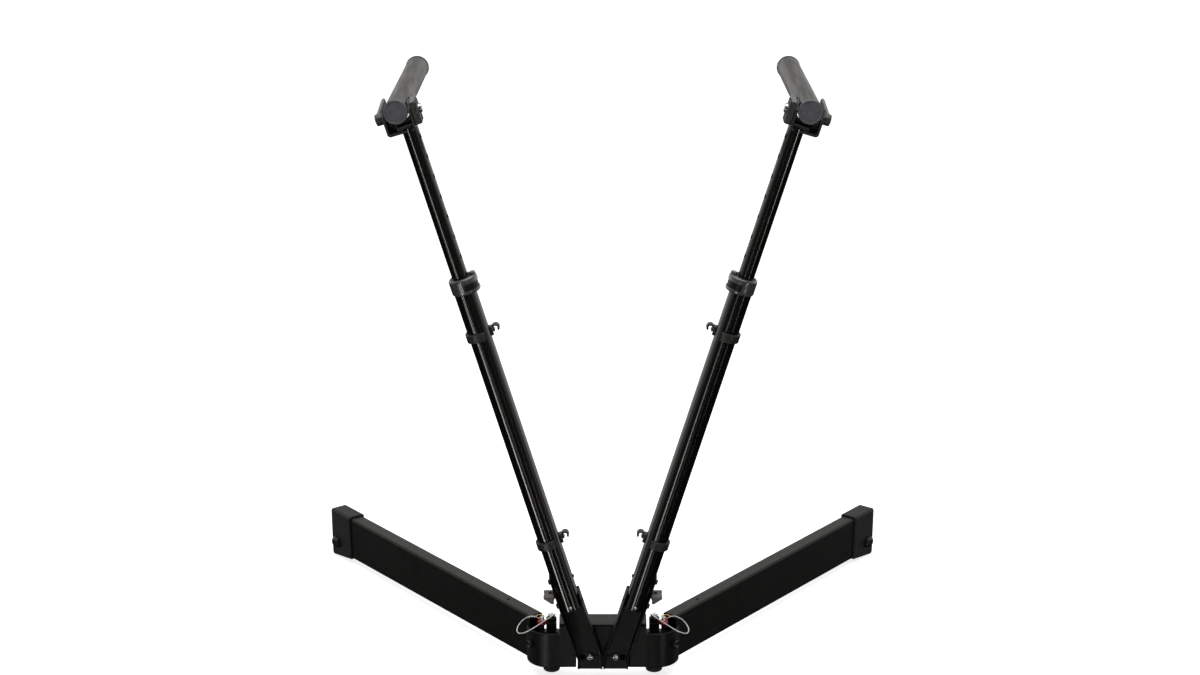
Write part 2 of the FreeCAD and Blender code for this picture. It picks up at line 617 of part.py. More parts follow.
def pivot_bolt():
    """Shank through both plates, washer, grooved nut and a small bevel."""
    seat = "upper_plate + floor_plate"
    washer_top = "upper_plate + floor_plate + washer_sheet"
    profile = [
        (0, "hub_bottom"), ("pivot_radius", "hub_bottom"), ("pivot_radius", seat),
        ("washer_radius", seat), ("washer_radius", washer_top),
        ("nut_radius", washer_top), ("nut_radius", "nut_top - groove_start"),
        ("nut_radius - groove_depth", "nut_top - groove_start + groove_bevel"),
        ("nut_radius - groove_depth", "nut_top - groove_end - groove_bevel"),
        ("nut_radius", "nut_top - groove_end"), ("nut_radius", "nut_top - nut_bevel"),
        ("nut_radius - nut_bevel_across", "nut_top"), (0, "nut_top")]
    keep_pair("pivot_bolt", turned_body(profile), pivot_frame)


def foot():
    """Stepped rubber foot under the pivot."""
    step = "hub_bottom - foot_step_at"
    profile = [
        (0, 0), ("foot_radius - foot_bevel", 0), ("foot_radius", "foot_bevel"),
        ("foot_radius", step + " - foot_step_rise"), ("foot_radius - foot_step", step),
        ("foot_radius - foot_step", "hub_bottom"), (0, "hub_bottom")]
    keep("rubber_feet", group(*both_sides(turned_body(profile), pivot_frame)))


def socket_button():
    """Spring button through the cup's wall, with an inner flange that keeps it in."""
    profile = [
        (0, "button_inner"), ("button_shank", "button_inner"),
        ("button_shank", "button_inner + flange_start"), ("button_flange", "button_inner + flange_start"),
        ("button_flange", "button_inner + flange_end"), ("button_shank", "button_inner + flange_end"),
        ("button_shank", "cup_radius + button_neck"), ("button_radius", "cup_radius + button_rim"),
        ("button_radius", "cup_radius + button_side"),
        ("button_radius - button_bevel", "cup_radius + button_face"),
        (0, "cup_radius + button_face")]
    button = turned(turned(turned_body(profile), BACKWARD, 90), UPWARD, size("button_angle") - 90,
                    (0, 0, size("button_height")))
    keep_pair("socket_button", button, pivot_frame)


def ring_shape(wire, x, y):
    """Round wire bent to the split ring's circle, level, at the height of the pull pin's eye."""
    ring = doc.addObject("Part::Torus", "Torus")
    bind(ring, "Radius1", "ring_radius")
    bind(ring, "Radius2", wire)
    return put(ring, (x, y, "cup_top + ring_rise"))


def lock_pin():
    """Pull pin: shank through plates and knuckle, a red collar and a cross-drilled head."""
    pin_frame = pivot_frame.multiply(Placement(Vector(size("pin_x"), size("pin_y"), 0), Rotation()))
    collar_low = "cup_top + collar_rise"
    collar_high = "cup_top + collar_end"
    head_top = "cup_top + pin_head_end"
    shank = turned_body([
        (0, "hub_bottom"), ("pin_radius - pin_point", "hub_bottom"),
        ("pin_radius", "hub_bottom + pin_point_rise"),
        ("pin_radius", collar_low), (0, collar_low)])
    keep_pair("lock_pin", shank, pin_frame)
    knob = turned_body([
        (0, collar_low), ("pin_collar - 2 * gap", collar_low), ("pin_collar", collar_low + " + 2 * gap"),
        ("pin_collar", collar_high + " - 2 * gap"), ("pin_collar - 2 * gap", collar_high),
        ("pin_head", collar_high + " + 2 * gap"), ("pin_head", head_top + " - 2 * gap"),
        ("pin_head - 2 * gap", head_top), (0, head_top)])
    eye = ring_shape("ring_wire + gap", "ring_x - pin_x", "ring_y - pin_y")
    keep_pair("pin_knob", cut(knob, eye), pin_frame)


def split_ring():
    """Brass ring lying in the eye of the pull pin."""
    keep_pair("split_ring", group(ring_shape("ring_wire", "ring_x", "ring_y")), pivot_frame)


def column_screws():
    """Pivot screws of the columns: domed head in front, shank through the beam, nut inside."""
    seat = "hub_wall + bracket_sheet"
    screw = turned_body([
        (0, 0), ("column_screw", 0), ("column_screw", seat + " + 2 * gap"),
        ("screw_flange", seat + " + 2 * gap"), ("screw_flange", seat + " + screw_flange_top"),
        ("screw_head", seat + " + screw_head_top - 2 * gap"), ("screw_head / 2", seat + " + screw_head_top"),
        ("screw_recess", seat + " + screw_recess_floor"), (0, seat + " + screw_recess_floor")])
    nut = tube_body("screw_nut", "column_screw", "-screw_nut_height", 0)
    pair = group(screw, nut)
    frame = Placement(
        Vector(size("column_x"), size("pivot_line_y") + size("hub_front") + size("hub_wall"), size("column_z")),
        Rotation(OUTWARD, 90))
    keep("column_screws", group(*both_sides(pair, frame)))


def leg_knuckle():
    """Block that turns on the pivot and reaches into the leg tube, with a slot for the pull pin."""
    tall = "knuckle_top - knuckle_bottom"
    boss = cylinder("knuckle_boss", tall, (0, 0, "knuckle_bottom"))
    lobe = cylinder("knuckle_lobe", tall, (0, 0, "knuckle_bottom"))
    lobe.Angle = size("lobe_span")
    lobe.Placement.Rotation = Rotation(UPWARD, size("lobe_start"))
    tongue = box("leg_offset - leg_width / 2 + leg_wall", "leg_offset + leg_width / 2 - leg_wall",
                 "leg_start - 3 * root_gap", "tongue_end", "knuckle_bottom", "knuckle_top")
    bridge = box(0, "knuckle_bridge", 0, "leg_start - root_gap", "knuckle_bottom", "knuckle_top")
    pivot_hole = cylinder("pivot_radius + fit", tall, (0, 0, "knuckle_bottom"))
    reach = math.hypot(size("pin_x"), size("pin_y"))
    half_slot = size("pin_radius") + 2 * size("gap")
    # Direction of the pin seen from the open leg; the slot runs on as far as the leg folds.
    start = math.degrees(math.atan2(size("pin_y"), size("pin_x"))) + size("leg_angle")
    outer = cylinder(reach + half_slot, tall, (0, 0, "knuckle_bottom"))
    outer.Angle = size("leg_angle")
    outer.Placement.Rotation = Rotation(UPWARD, start - size("leg_angle"))
    arc = cut(outer, cylinder(reach - half_slot, tall, (0, 0, "knuckle_bottom")))
    ends = [cylinder(half_slot, tall, (reach * math.cos(math.radians(a)), reach * math.sin(math.radians(a)),
                                       "knuckle_bottom"))
            for a in (start, start - size("leg_angle"))]
    keep_pair("leg_knuckle", cut(fuse(boss, lobe, bridge, tongue), fuse(arc, *ends), pivot_hole), knuckle_frame)


def leg_tube():
    """Rectangular tube of the leg, with a small hole in its top."""
    body = padded_body("XZ_Plane", rectangle("leg_offset - leg_width / 2", "leg_offset + leg_width / 2",
                                             "-leg_height / 2", "leg_height / 2"),
                       "leg_end - leg_start", "-leg_end")
    rounded(body, "leg_round", BACKWARD)
    pocket(body, "XZ_Plane", rectangle(
        "leg_offset - leg_width / 2 + leg_wall", "leg_offset + leg_width / 2 - leg_wall",
        "-leg_height / 2 + leg_wall", "leg_height / 2 - leg_wall"))
    hole = cylinder("leg_hole", "leg_height", ("leg_offset", "leg_hole_at", 0))
    screw_hole = cylinder("cap_screw_shank + fit", "leg_width", ("leg_offset", "cap_screw_at", "cap_screw_drop"),
                          "x")
    keep_pair("leg_tube", cut(body, hole, screw_hole), leg_frame)


def leg_cap():
    """Plastic shoe over the tube's end: flush and rounded above, deeper below, down to the floor."""
    inner = "leg_end + cap_end - cap_length"
    bevel = "leg_end + cap_end - cap_bevel"
    end = "leg_end + cap_end"
    half = "leg_width / 2 + cap_side"
    side = [
        (inner, "leg_height / 2 + cap_above"), (inner, "-leg_height / 2 - cap_below_inner"),
        (bevel, "-leg_height / 2 - cap_below_outer"), (end, "-leg_height / 2 - cap_toe"),
        (end, "leg_height / 2 - cap_brow"), (bevel, "leg_height / 2 + cap_above")]
    body = padded_body("YZ_Plane", side, "2 * (%s)" % half, "leg_offset - (%s)" % half)
    doc.recompute()
    faces = [face for face in body.Shape.Faces if abs(face.normalAt(0, 0).x) > 0.9]
    rims = {edge.hashCode() for face in faces for edge in face.Edges}
    names = ["Edge%d" % n for n, edge in enumerate(body.Shape.Edges, start=1) if edge.hashCode() in rims]
    last_feature = body.Tip
    fillet = body.newObject("PartDesign::Fillet", "Fillet")
    fillet.Base = (last_feature, names)
    bind(fillet, "Radius", "cap_edge")
    doc.recompute()
    socket = box("leg_offset - leg_width / 2", "leg_offset + leg_width / 2", "leg_end - cap_length", "leg_end",
                 "-leg_height / 2", "leg_height / 2")
    screw_hole = cylinder("cap_screw_shank + fit", "leg_width", ("leg_offset", "cap_screw_at", "cap_screw_drop"),
                          "x")
    keep_pair("leg_cap", cut(body, socket, screw_hole), leg_frame)


def cap_screw():
    """Washer and pan head with a cross recess, on the outer side of the cap."""
    washer = tube_body("cap_washer", "cap_screw_shank + fit", 0, "cap_washer_sheet")
    head = turned_body([
        (0, "-cap_screw_length"), ("cap_screw_shank", "-cap_screw_length"),
        ("cap_screw_shank", "cap_washer_sheet"), ("cap_screw_radius", "cap_washer_sheet"),
        ("cap_screw_radius", "cap_screw_head / 2"), ("cap_screw_radius * 0.84", "cap_screw_head * 0.83"),
        ("cap_screw_radius / 2", "cap_screw_head"), (0, "cap_screw_head")])
    cross = [
        box("-cross_arm", "cross_arm", "-cross_width", "cross_width", "cross_floor", "cap_screw_head + 1"),
        box("-cross_width", "cross_width", "-cross_arm", "cross_arm", "cross_floor", "cap_screw_head + 1")]
    pair = turned(group(washer, cut(head, *cross)), BACKWARD, 90)
    side = size("leg_offset") + size("leg_width") / 2 + size("cap_side")
    frame = leg_frame.multiply(Placement(Vector(side, size("cap_screw_at"), size("cap_screw_drop")), Rotation()))
    keep_pair("cap_screw", pair, frame)


def across_holes():
    """Holes for the two bolts that go across bracket and lower tube."""
    return [cylinder("bolt_shank + fit", "3 * lower_radius", ("-1.5 * lower_radius", "bolt_back", v), "x")
            for v in ("bolt_low", "bolt_high")]


def column_bracket():
    """Folded sheet bracket: back plate on the beam, two cheeks that narrow downwards, one lug."""
    def cheek(x0, top):
        return padded_body("YZ_Plane", [
            ("bracket_back", "bracket_foot"), ("bracket_back", top), ("bracket_edge_top", top),
            ("bracket_edge_wide", "lower_start"), ("bracket_edge_low", "bracket_foot")],
            "bracket_sheet", x0)

    back = box("-bracket_half", "bracket_half", "bracket_back - bracket_sheet", "bracket_back", 0,
               "bracket_inner_top")
    inner = cheek("-bracket_half", "bracket_inner_top")
    outer = cheek("bracket_half - bracket_sheet", "bracket_outer_top")
    low_side = "bracket_half + bracket_spread"
    low_bottom = "hub_bottom - column_z"
    low_back = box("-bracket_half", low_side, "bracket_back - bracket_sheet", "bracket_back", low_bottom,
                   "low_back_top")
    low_inner = box("-bracket_half", "-bracket_half + bracket_sheet", "low_cheek_front", "bracket_back",
                    low_bottom, "low_inner_top")
    low_outer = box(low_side + " - bracket_sheet", low_side, "low_cheek_front", "bracket_back",
                    low_bottom, "low_outer_top")
    low = turned(fuse(low_back, low_inner, low_outer), BACKWARD, -size("column_tilt"))
    lug = box("bracket_half", "release_u + lug_reach", 0, "lug_back", "release_v - lug_half",
              "release_v + lug_half")
    pivot_hole = cylinder("column_screw + fit", "4 * bracket_sheet",
                          (0, "bracket_back - 2 * bracket_sheet", 0), "y")
    hinge_hole = cylinder("release_pin + fit", "2 * lug_back",
                          ("release_u", "-lug_back / 2", "release_v"), "y")
    keep_pair("column_bracket", cut(fuse(back, inner, outer, low, lug), pivot_hole, hinge_hole,
                                    *across_holes()), column_frame)


def bracket_bolts():
    """Two bolts across bracket and lower tube, with domed heads on the outer cheek."""
    def bolt(v, inner_end):
        body = turned_body([
            (0, inner_end), ("bolt_shank", inner_end), ("bolt_shank", "bracket_half"),
            ("bolt_head", "bracket_half"),
            ("bolt_head", "bracket_half + bolt_head_side"), ("bolt_face", "bracket_half + bolt_head_top"),
            (0, "bracket_half + bolt_head_top")])
        return turned(body, BACKWARD, 90, (0, size("bolt_back"), size(v)))

    keep_pair("bracket_bolts", group(bolt("bolt_low", "-bracket_half - bolt_end"),
                                     bolt("bolt_high", "-lower_radius - bolt_end")), column_frame)


def release_lever():
    """Sprung paddle on the outer cheek: flat on top, tapered below, forked round the lug."""
    paddle = padded_body("XZ_Plane", [
        ("release_inner", "release_bottom"), ("release_under", "release_bottom"),
        ("release_outer", "release_lip"),
        ("release_outer", "release_top"), ("release_inner", "release_top")],
        "release_back - release_front", "-release_back")
    fork = box("2.5 * release_inner", "fork_end", "-gap", "lug_back + gap", "release_bottom - 2", "release_top + 2")
    # The pin stays in the fork and turns in the bracket's lug.
    pin = cylinder("release_pin", "release_pin_length", (0, "release_pin_front", 0), "y")
    frame = column_frame.multiply(Placement(Vector(size("release_u"), 0, size("release_v")), LEVEL))
    keep_pair("release_lever", fuse(cut(paddle, fork), pin), frame)


def lower_tube():
    tube = tube_body("lower_radius", "lower_radius - tube_wall", "lower_start", "lower_end")
    keep_pair("lower_tube", cut(tube, *across_holes()), column_frame)


def upper_tube():
    """Upper tube with its row of height holes, facing the inside and slightly the front."""
    tube = tube_body("upper_radius", "upper_radius - tube_wall", "upper_start", "upper_end")
    holes = []
    for step in range(int(size("index_count"))):
        hole = cylinder("index_hole", "upper_radius + 2", (0, 0, "index_top - %d * index_pitch" % step), "x")
        holes.append(turned(hole, UPWARD, size("index_turn")))
    keep_pair("upper_tube", cut(tube, *holes), column_frame)


def slide_bushing():
    """Plastic bushing in the mouth of the lower tube, in which the upper tube slides."""
    inside = "lower_radius - tube_wall - bushing_fit"
    low = "lower_end - bushing_depth"
    high = "collar_top - bushing_step"
    keep_pair("slide_bushing", turned_body([
        ("upper_radius + fit", low), (inside, low), (inside, "lower_end"), ("lower_radius", "lower_end"),
        ("lower_radius", high), ("upper_radius + fit", high)]), column_frame)


def collar():
    """Moulded collar with a lobe towards the inside and a recess for its catch lever."""
    tall = "collar_top - collar_bottom"
    shell = fuse(cylinder("collar_radius - collar_slim", tall, (0, 0, "collar_bottom")),
                 cylinder("collar_radius", tall, ("-collar_shift", 0, "collar_bottom")))
    bore = cylinder("lower_radius + bushing_fit", tall, (0, 0, "collar_bottom"))
    recess_low = "collar_bottom + recess_rise"
    recess = cut(box("-2 * collar_radius", "recess_heel", "-2 * collar_radius", "recess_tip", recess_low,
                     recess_low + " + recess_height"),
                 cylinder("lower_radius + recess_core", tall, (0, 0, "collar_bottom")))
    hinge_hole = cylinder("catch_pin + fit", tall, ("catch_x", "catch_y", "collar_bottom + catch_pin_end / 2"))
    boss_side = "collar_top + boss_rise - boss_bevel"
    boss = turned(turned_body([
        (0, "collar_top"), ("boss_radius", "collar_top"), ("boss_radius", boss_side),
        ("boss_top", "collar_top + boss_rise"), (0, "collar_top + boss_rise")]),
        UPWARD, 0, (size("boss_at"), 0, 0))
    keep_pair("collar", fuse(cut(shell, bore, recess, hinge_hole), boss), column_frame)


def collar_lever():
    """Catch lever in the collar's recess, on a pin in front, its tip at the inner side."""
    bottom = "collar_bottom + recess_rise + gap"
    tall = "recess_height - 2 * gap"
    rim = cut(cylinder("collar_radius - catch_skin", tall, ("-collar_shift", 0, bottom)),
              cylinder("lower_radius + recess_core + catch_room", tall, (0, 0, bottom)))
    part = common(rim, box("-2 * collar_radius", "catch_heel", "-2 * collar_radius", "catch_tip", bottom,
                           "(%s) + %s" % (bottom, tall)))
    pin = cylinder("catch_pin", "collar_top - collar_bottom - 2 * catch_pin_end",
                   ("catch_x", "catch_y", "collar_bottom + catch_pin_end"))
    keep_pair("collar_lever", fuse(part, pin), column_frame)


def cable_clips():
    """Two snap-on clips round the lower tube, each with a small open hook at the inside."""
    def clip(v):
        base = "%s - clip_height / 2" % v
        top = "%s + clip_height / 2" % v
        ring = cut(cylinder("clip_radius", "clip_height", (0, 0, base)),
                   box("-2 * clip_radius", "clip_mouth_inner", "-2 * clip_radius", "clip_mouth_back", base, top))
        web = box("web_inner", "web_outer", "web_front", "web_back", v + " - web_half", v + " + web_half")
        hook = cylinder("hook_radius", "hook_width", ("hook_x", "hook_front", v), "y")
        eye = cylinder("hook_radius - hook_wall", "hook_width + 2", ("hook_x", "hook_front - 1", v), "y")
        mouth = box("hook_x - mouth_half", "hook_x + mouth_half", "hook_front - 1", "hook_front + hook_width + 1",
                    v + " + mouth_bottom", v + " + mouth_top")
        bore = cylinder("lower_radius + bushing_fit", "2 * clip_height", (0, 0, v + " - clip_height"))
        return cut(fuse(ring, web, hook), bore, eye, mouth)

    keep_pair("cable_clips", group(clip("clip_low"), clip("clip_high")), column_frame)


def top_yoke():
    """U-shaped head on the upper tube: web, two cheeks, a block round the tube's end and a rib."""
    bottom = "yoke_bottom - bolt_v"
    top = "yoke_top - bolt_v"
    web_top = "yoke_bottom - bolt_v + yoke_sheet"
    cheeks = []
    for x0 in ("-yoke_inside - yoke_sheet", "yoke_inside"):
        cheeks.append(padded_body("YZ_Plane", [
            ("-yoke_half", bottom), ("yoke_half", bottom), ("yoke_half", "yoke_back_corner"),
            ("yoke_top_back", top), ("yoke_top_front", top), ("-yoke_half", "yoke_front_corner")],
            "yoke_sheet", x0))
    web = box("-yoke_inside", "yoke_inside", "-yoke_half", "yoke_half", bottom, web_top)
    saddle = box("-yoke_inside", "saddle_outer", "saddle_front", "saddle_back", web_top, "saddle_top")
    back_wall = box("-yoke_inside", "yoke_inside", "back_wall_front", "yoke_half - 2", web_top, "back_wall_top")
    cradle = cut(
        box("-yoke_inside", "yoke_inside", "-cradle_half", "cradle_half", web_top, "cradle_top"),
        cylinder("arm_radius + cradle_room", "4 * cradle_half", (0, "-2 * cradle_half", "arm_rise"), "y"))
    # The upper tube ends in the block, which closes it.
    tube_hole = cylinder("upper_radius + bushing_fit", "upper_end - yoke_bottom + 5 + bushing_fit",
                         ("-bolt_u", "-bolt_y", bottom + " - 5"))
    bolt_hole = cylinder("bolt_radius + fit", "4 * yoke_inside", ("-2 * yoke_inside", 0, 0), "x")
    keep_pair("top_yoke", cut(fuse(web, saddle, back_wall, cradle, *cheeks), tube_hole, bolt_hole), head_frame)


def clamp_block():
    """Ribbed plastic block on the inner cheek, through which the cross bolt goes."""
    outer = "-yoke_inside - yoke_sheet"
    inner = outer + " - block_depth"
    block = box(inner, outer, "block_front", "block_back", "block_bottom", "block_top")
    ribs = [box(outer + " - rib_depth", inner, y, y + " + rib_width", "block_bottom", "block_top")
            for y in ("block_front", "rib_second")]
    bolt_hole = cylinder("bolt_radius + fit", "2 * yoke_inside", ("-3 * yoke_inside", 0, 0), "x")
    pin_hole = cylinder("block_hole", "block_depth", (outer + " - rib_depth", 0, "block_hole_drop"), "x")
    keep_pair("clamp_block", cut(fuse(block, *ribs), bolt_hole, pin_hole), head_frame)


def cross_bolt():
    """Bolt through block, yoke and arm, with its head at the inside."""
    seat = "-yoke_inside - yoke_sheet - rib_depth"
    end = "yoke_inside + yoke_sheet + bolt_stub"
    body = turned_body([
        (0, seat + " - head_height"), ("head_radius - head_bevel", seat + " - head_height"),
        ("head_radius", seat + " - head_side"), ("head_radius", seat),
        ("bolt_radius", seat), ("bolt_radius", end), (0, end)])
    keep_pair("cross_bolt", turned(body, BACKWARD, 90), head_frame)


def clamp_handle():
    """Clamp handle on the outer end of the cross bolt, lying back along the arm."""
    side = "yoke_inside + yoke_sheet"
    hub = cylinder("handle_hub", "handle_hub_height", (side + " + gap", 0, 0), "x")
    grip = padded_body("YZ_Plane", [
        (0, "-grip_root"), ("grip_neck", "grip_neck_drop"), ("handle_length - grip_tip_under", "grip_tip_drop"),
        ("handle_length", 0), ("handle_length - grip_tip_over", "grip_tip_rise"),
        ("grip_shoulder", "grip_shoulder_rise"), (0, "grip_root")], "grip_width", side + " + grip_start")
    socket = cylinder("bolt_radius + fit", "bolt_stub + 2 * gap", (side + " - gap", 0, 0), "x")
    keep_pair("clamp_handle", cut(fuse(hub, grip), socket), head_frame)


def arm_tube():
    tube = turned(tube_body("arm_radius", "arm_radius - arm_wall", "arm_front", "arm_back"), OUTWARD, -90,
                  (0, 0, size("arm_rise")))
    bolt_hole = cylinder("bolt_radius + fit", "4 * arm_radius", ("-2 * arm_radius", 0, 0), "x")
    keep_pair("arm_tube", cut(tube, bolt_hole), arm_frame)


def arm_caps():
    """Domed end caps of the arm, each with a plug inside the tube."""
    def cap():
        return turned_body([
            (0, 0), ("arm_cap - arm_cap_bevel", 0), ("arm_cap", "arm_cap_rise"), ("arm_cap", "arm_cap_thick"),
            ("plug_radius", "arm_cap_thick"), ("plug_radius", "plug_end"), ("plug_bore", "plug_end"),
            ("plug_bore", "plug_floor"), (0, "plug_floor")])

    thick = size("arm_cap_thick")
    front = turned(cap(), OUTWARD, -90, (0, size("arm_front") - thick, size("arm_rise")))
    back = turned(cap(), OUTWARD, 90, (0, size("arm_back") + thick, size("arm_rise")))
    keep_pair("arm_caps", group(front, back), arm_frame)


def arm_gusset():
    """Triangular stay on the inner side of the arm, behind the clamp block."""
    plate = padded_body("YZ_Plane", [
        ("stay_front", "stay_front_bottom"), ("stay_knee", "stay_bottom"), ("stay_back", "stay_back_bottom"),
        ("stay_back", "stay_back_top"), ("stay_knee", "stay_top"), ("stay_front", "stay_front_top")],
        "stay_sheet", "stay_inner")
    foot_pad = cut(box("stay_inner + 0.9 * stay_sheet", "pad_outer", "pad_front", "pad_back", "pad_bottom",
                       "pad_top"),
                   cylinder("arm_radius + bushing_fit", "2 * pad_front", (0, "pad_front - 5", "arm_rise"), "y"))
    keep_pair("arm_gusset", fuse(plate, foot_pad), arm_frame)


# Lanyard of the pull pin on the right: from the pivot stack over the cup's rim, round in a hanging
# bight beside the leg, and up to the split ring. From the leg pivot, on the floor.
LANYARD_ROUTE = [
    (-2.5, -6.0, 97.9), (2.0, -13.5, 98.0), (11.0, -22.5, 95.8), (23.0, -31.5, 91.0), (36.0, -36.0, 84.5),
    (47.5, -33.5, 78.5), (54.5, -24.5, 76.0), (55.5, -13.0, 79.0), (49.5, -5.5, 86.5), (40.5, -4.5, 93.5),
    (31.8, -5.8, 97.2), (26.0, -7.6, 96.6),
]
# Share of a straight run that the arc at each of its ends takes.
ARC_SHARE = 0.45


def rounded_path(points):
    """Straight runs joined by tangent arcs, as large as the shorter run beside each corner allows."""
    edges = []
    radii = []
    start = points[0]
    for before, corner, after in zip(points, points[1:], points[2:]):
        back = (before - corner).normalize()
        ahead = (after - corner).normalize()
        half_turn = (math.pi - back.getAngle(ahead)) / 2
        cut_off = ARC_SHARE * min((before - corner).Length, (after - corner).Length)
        radius = cut_off / math.tan(half_turn)
        first = corner + back * cut_off
        last = corner + ahead * cut_off
        toward_centre = (back + ahead).normalize()
        middle = corner + toward_centre * (radius / math.cos(half_turn) - radius)
        edges.append(Part.LineSegment(start, first).toShape())
        edges.append(Part.Arc(first, middle, last).toShape())
        radii.append(radius)
        start = last
    edges.append(Part.LineSegment(start, points[-1]).toShape())
    return Part.Wire(edges), radii


def lanyard():
    """Thin steel lanyard, one round tube along its route."""
    points = [Vector(*point) for point in LANYARD_ROUTE]
    path, radii = rounded_path(points)
    section = Part.Wire([Part.makeCircle(size("cord_radius"), points[0], points[1] - points[0])])
    shape = path.makePipeShell([section], True, False)
    expected = math.pi * size("cord_radius") ** 2 * path.Length
    print("lanyard radii", [round(radius, 1) for radius in radii])
    print("lanyard length %.1f, volume %.1f, section times length %.1f" % (path.Length, shape.Volume, expected))
    item = doc.addObject("Part::Feature", "Lanyard")
    item.Shape = shape
    keep_pair("lanyard", item, pivot_frame)


def barrel(end, neighbour, length):
    """Crimped barrel that starts at an end of the lanyard and runs away from it."""
    holder = group(cylinder("cord_radius + barrel_wall", length))
    holder.Placement = Placement(end, Rotation(UPWARD, end - neighbour))
    return holder


def lanyard_fittings():
    """Ring terminal on top of the pivot stack, and the crimp that ends beside the split ring."""
    points = [Vector(*point) for point in LANYARD_ROUTE]
    terminal = fuse(tube_body("terminal_radius", "terminal_bore", "nut_top", "nut_top + terminal_sheet"),
                    barrel(points[0], points[1], "barrel_length"))
    keep_pair("lanyard_fittings", group(terminal, barrel(points[-1], points[-2], "crimp_length")), pivot_frame)


hub_beam()
leg_socket()
pivot_bolt()
foot()
socket_button()
lock_pin()
split_ring()
column_screws()
lanyard()
lanyard_fittings()
leg_knuckle()
leg_tube()
leg_cap()
cap_screw()
column_bracket()
bracket_bolts()
release_lever()
lower_tube()
slide_bushing()
collar()
collar_lever()
cable_clips()
upper_tube()
top_yoke()
clamp_block()
cross_bolt()
clamp_handle()
arm_tube()
arm_caps()
arm_gusset()
doc.recompute()

for item in doc.Objects:
    if "Invalid" in item.State or "Error" in item.State:
        raise ValueError("%s (%s) failed: %s" % (item.Label, item.Name, item.State))
for item in pieces:
    if item.Shape.isNull() or not item.Shape.isValid():
        raise ValueError(item.Label + " has no valid shape")

os.makedirs("parts", exist_ok=True)
whole = FreeCAD.BoundBox()
for item in pieces:
    item.Shape.exportStep("parts/%s.step" % item.Label)
    whole.add(item.Shape.optimalBoundingBox(False))
print("%d sub-parts" % len(pieces))
print("x %.2f to %.2f" % (whole.XMin, whole.XMax))
print("y %.2f to %.2f" % (whole.YMin, whole.YMax))
print("z %.2f to %.2f" % (whole.ZMin, whole.ZMax))
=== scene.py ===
"""Looks of a folding stand for a keyboard, built round its fixed frame.

Two leaning telescopic columns stand on a small hub with two legs that fold. Lengths in the classes
are millimetres, and MM turns them into the scene's metres. The right side is worked out once, and
the left is its mirror image. +X is to the right as seen from the front, +Y towards the back, +Z up.
"""
import logging
import math
from collections.abc import Callable, Sequence
from dataclasses import dataclass
from enum import Enum

import bmesh
import bpy
import numpy as np
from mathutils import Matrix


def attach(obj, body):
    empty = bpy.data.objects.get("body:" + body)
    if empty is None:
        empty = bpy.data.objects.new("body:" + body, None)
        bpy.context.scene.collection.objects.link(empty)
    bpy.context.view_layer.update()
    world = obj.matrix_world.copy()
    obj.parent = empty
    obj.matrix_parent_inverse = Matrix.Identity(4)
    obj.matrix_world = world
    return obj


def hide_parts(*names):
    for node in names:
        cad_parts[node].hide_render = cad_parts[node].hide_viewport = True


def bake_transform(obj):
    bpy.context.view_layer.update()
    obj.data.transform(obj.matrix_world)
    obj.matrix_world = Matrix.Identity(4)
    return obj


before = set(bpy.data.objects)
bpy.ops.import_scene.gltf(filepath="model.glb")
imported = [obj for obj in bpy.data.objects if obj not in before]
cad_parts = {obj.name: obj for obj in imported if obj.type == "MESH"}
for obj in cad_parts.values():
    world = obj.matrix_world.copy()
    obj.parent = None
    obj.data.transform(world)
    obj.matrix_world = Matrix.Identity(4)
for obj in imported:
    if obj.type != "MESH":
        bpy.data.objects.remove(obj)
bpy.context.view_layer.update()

MM = 0.001
LOG = logging.getLogger("stand")

# Places that several sub-assemblies share, in millimetres and degrees.
PIVOT_X = 83.0
PIVOT_Y = -205.435
LEG_OPENING = 37.2
LEG_FALL = 1.1
LEG_MIDDLE = 58.6
COLUMN_FOOT = (20.2, -266.435, 42.5)
COLUMN_LEAN = 17.0
ARM_BOLT = (11.75, 6.0, 942.0)
ARM_FALL = 3.5
ARM_RISE = 6.2
ARM_FRONT, ARM_BACK = -14.0, 376.0
HUB_BOTTOM = 21.0
TUBE_BORE = 17.55


class Side(Enum):
    """The two halves of the stand, with the sign of their X."""

    RIGHT = 1
    LEFT = -1

    @property
    def word(self) -> str:
        """The side's name as node names end with it."""
        return self.name.lower()


class Axis(Enum):
    """Axes that a place turns about."""

    X = 0
    Y = 1
    Z = 2


@dataclass
class Shell:
    """A closed surface: points in millimetres and faces as rows of point numbers."""

    points: np.ndarray
    faces: list[tuple[int, ...]]
    corner_uv: np.ndarray | None = None


@dataclass(frozen=True)
class Place:
    """A rigid frame of the right side, in millimetres."""

    origin: np.ndarray
    axes: np.ndarray

    def moved(self, x: float, y: float, z: float) -> "Place":
        """The same frame further along its own axes."""
        return Place(self.origin + self.axes @ np.array([x, y, z], float), self.axes)

    def turned(self, axis: Axis, degrees: float) -> "Place":
        """The same frame turned about one of its own axes.

        Args:
            axis: The axis to turn about.
            degrees: The turn, by the right-hand rule.

        Returns:
            The turned frame.
        """
        first, second = ((1, 2), (2, 0), (0, 1))[axis.value]
        cosine, sine = math.cos(math.radians(degrees)), math.sin(math.radians(degrees))
        turn = np.eye(3)
        turn[first, first] = turn[second, second] = cosine
        turn[second, first], turn[first, second] = sine, -sine
        return Place(self.origin, self.axes @ turn)

    def of(self, shell: Shell) -> Shell:
        """A shell carried from this frame to the stand's."""
        return Shell(self.at(shell.points), shell.faces, shell.corner_uv)

    def at(self, points: np.ndarray) -> np.ndarray:
        """Points carried from this frame to the stand's."""
        return np.asarray(points, float) @ self.axes.T + self.origin


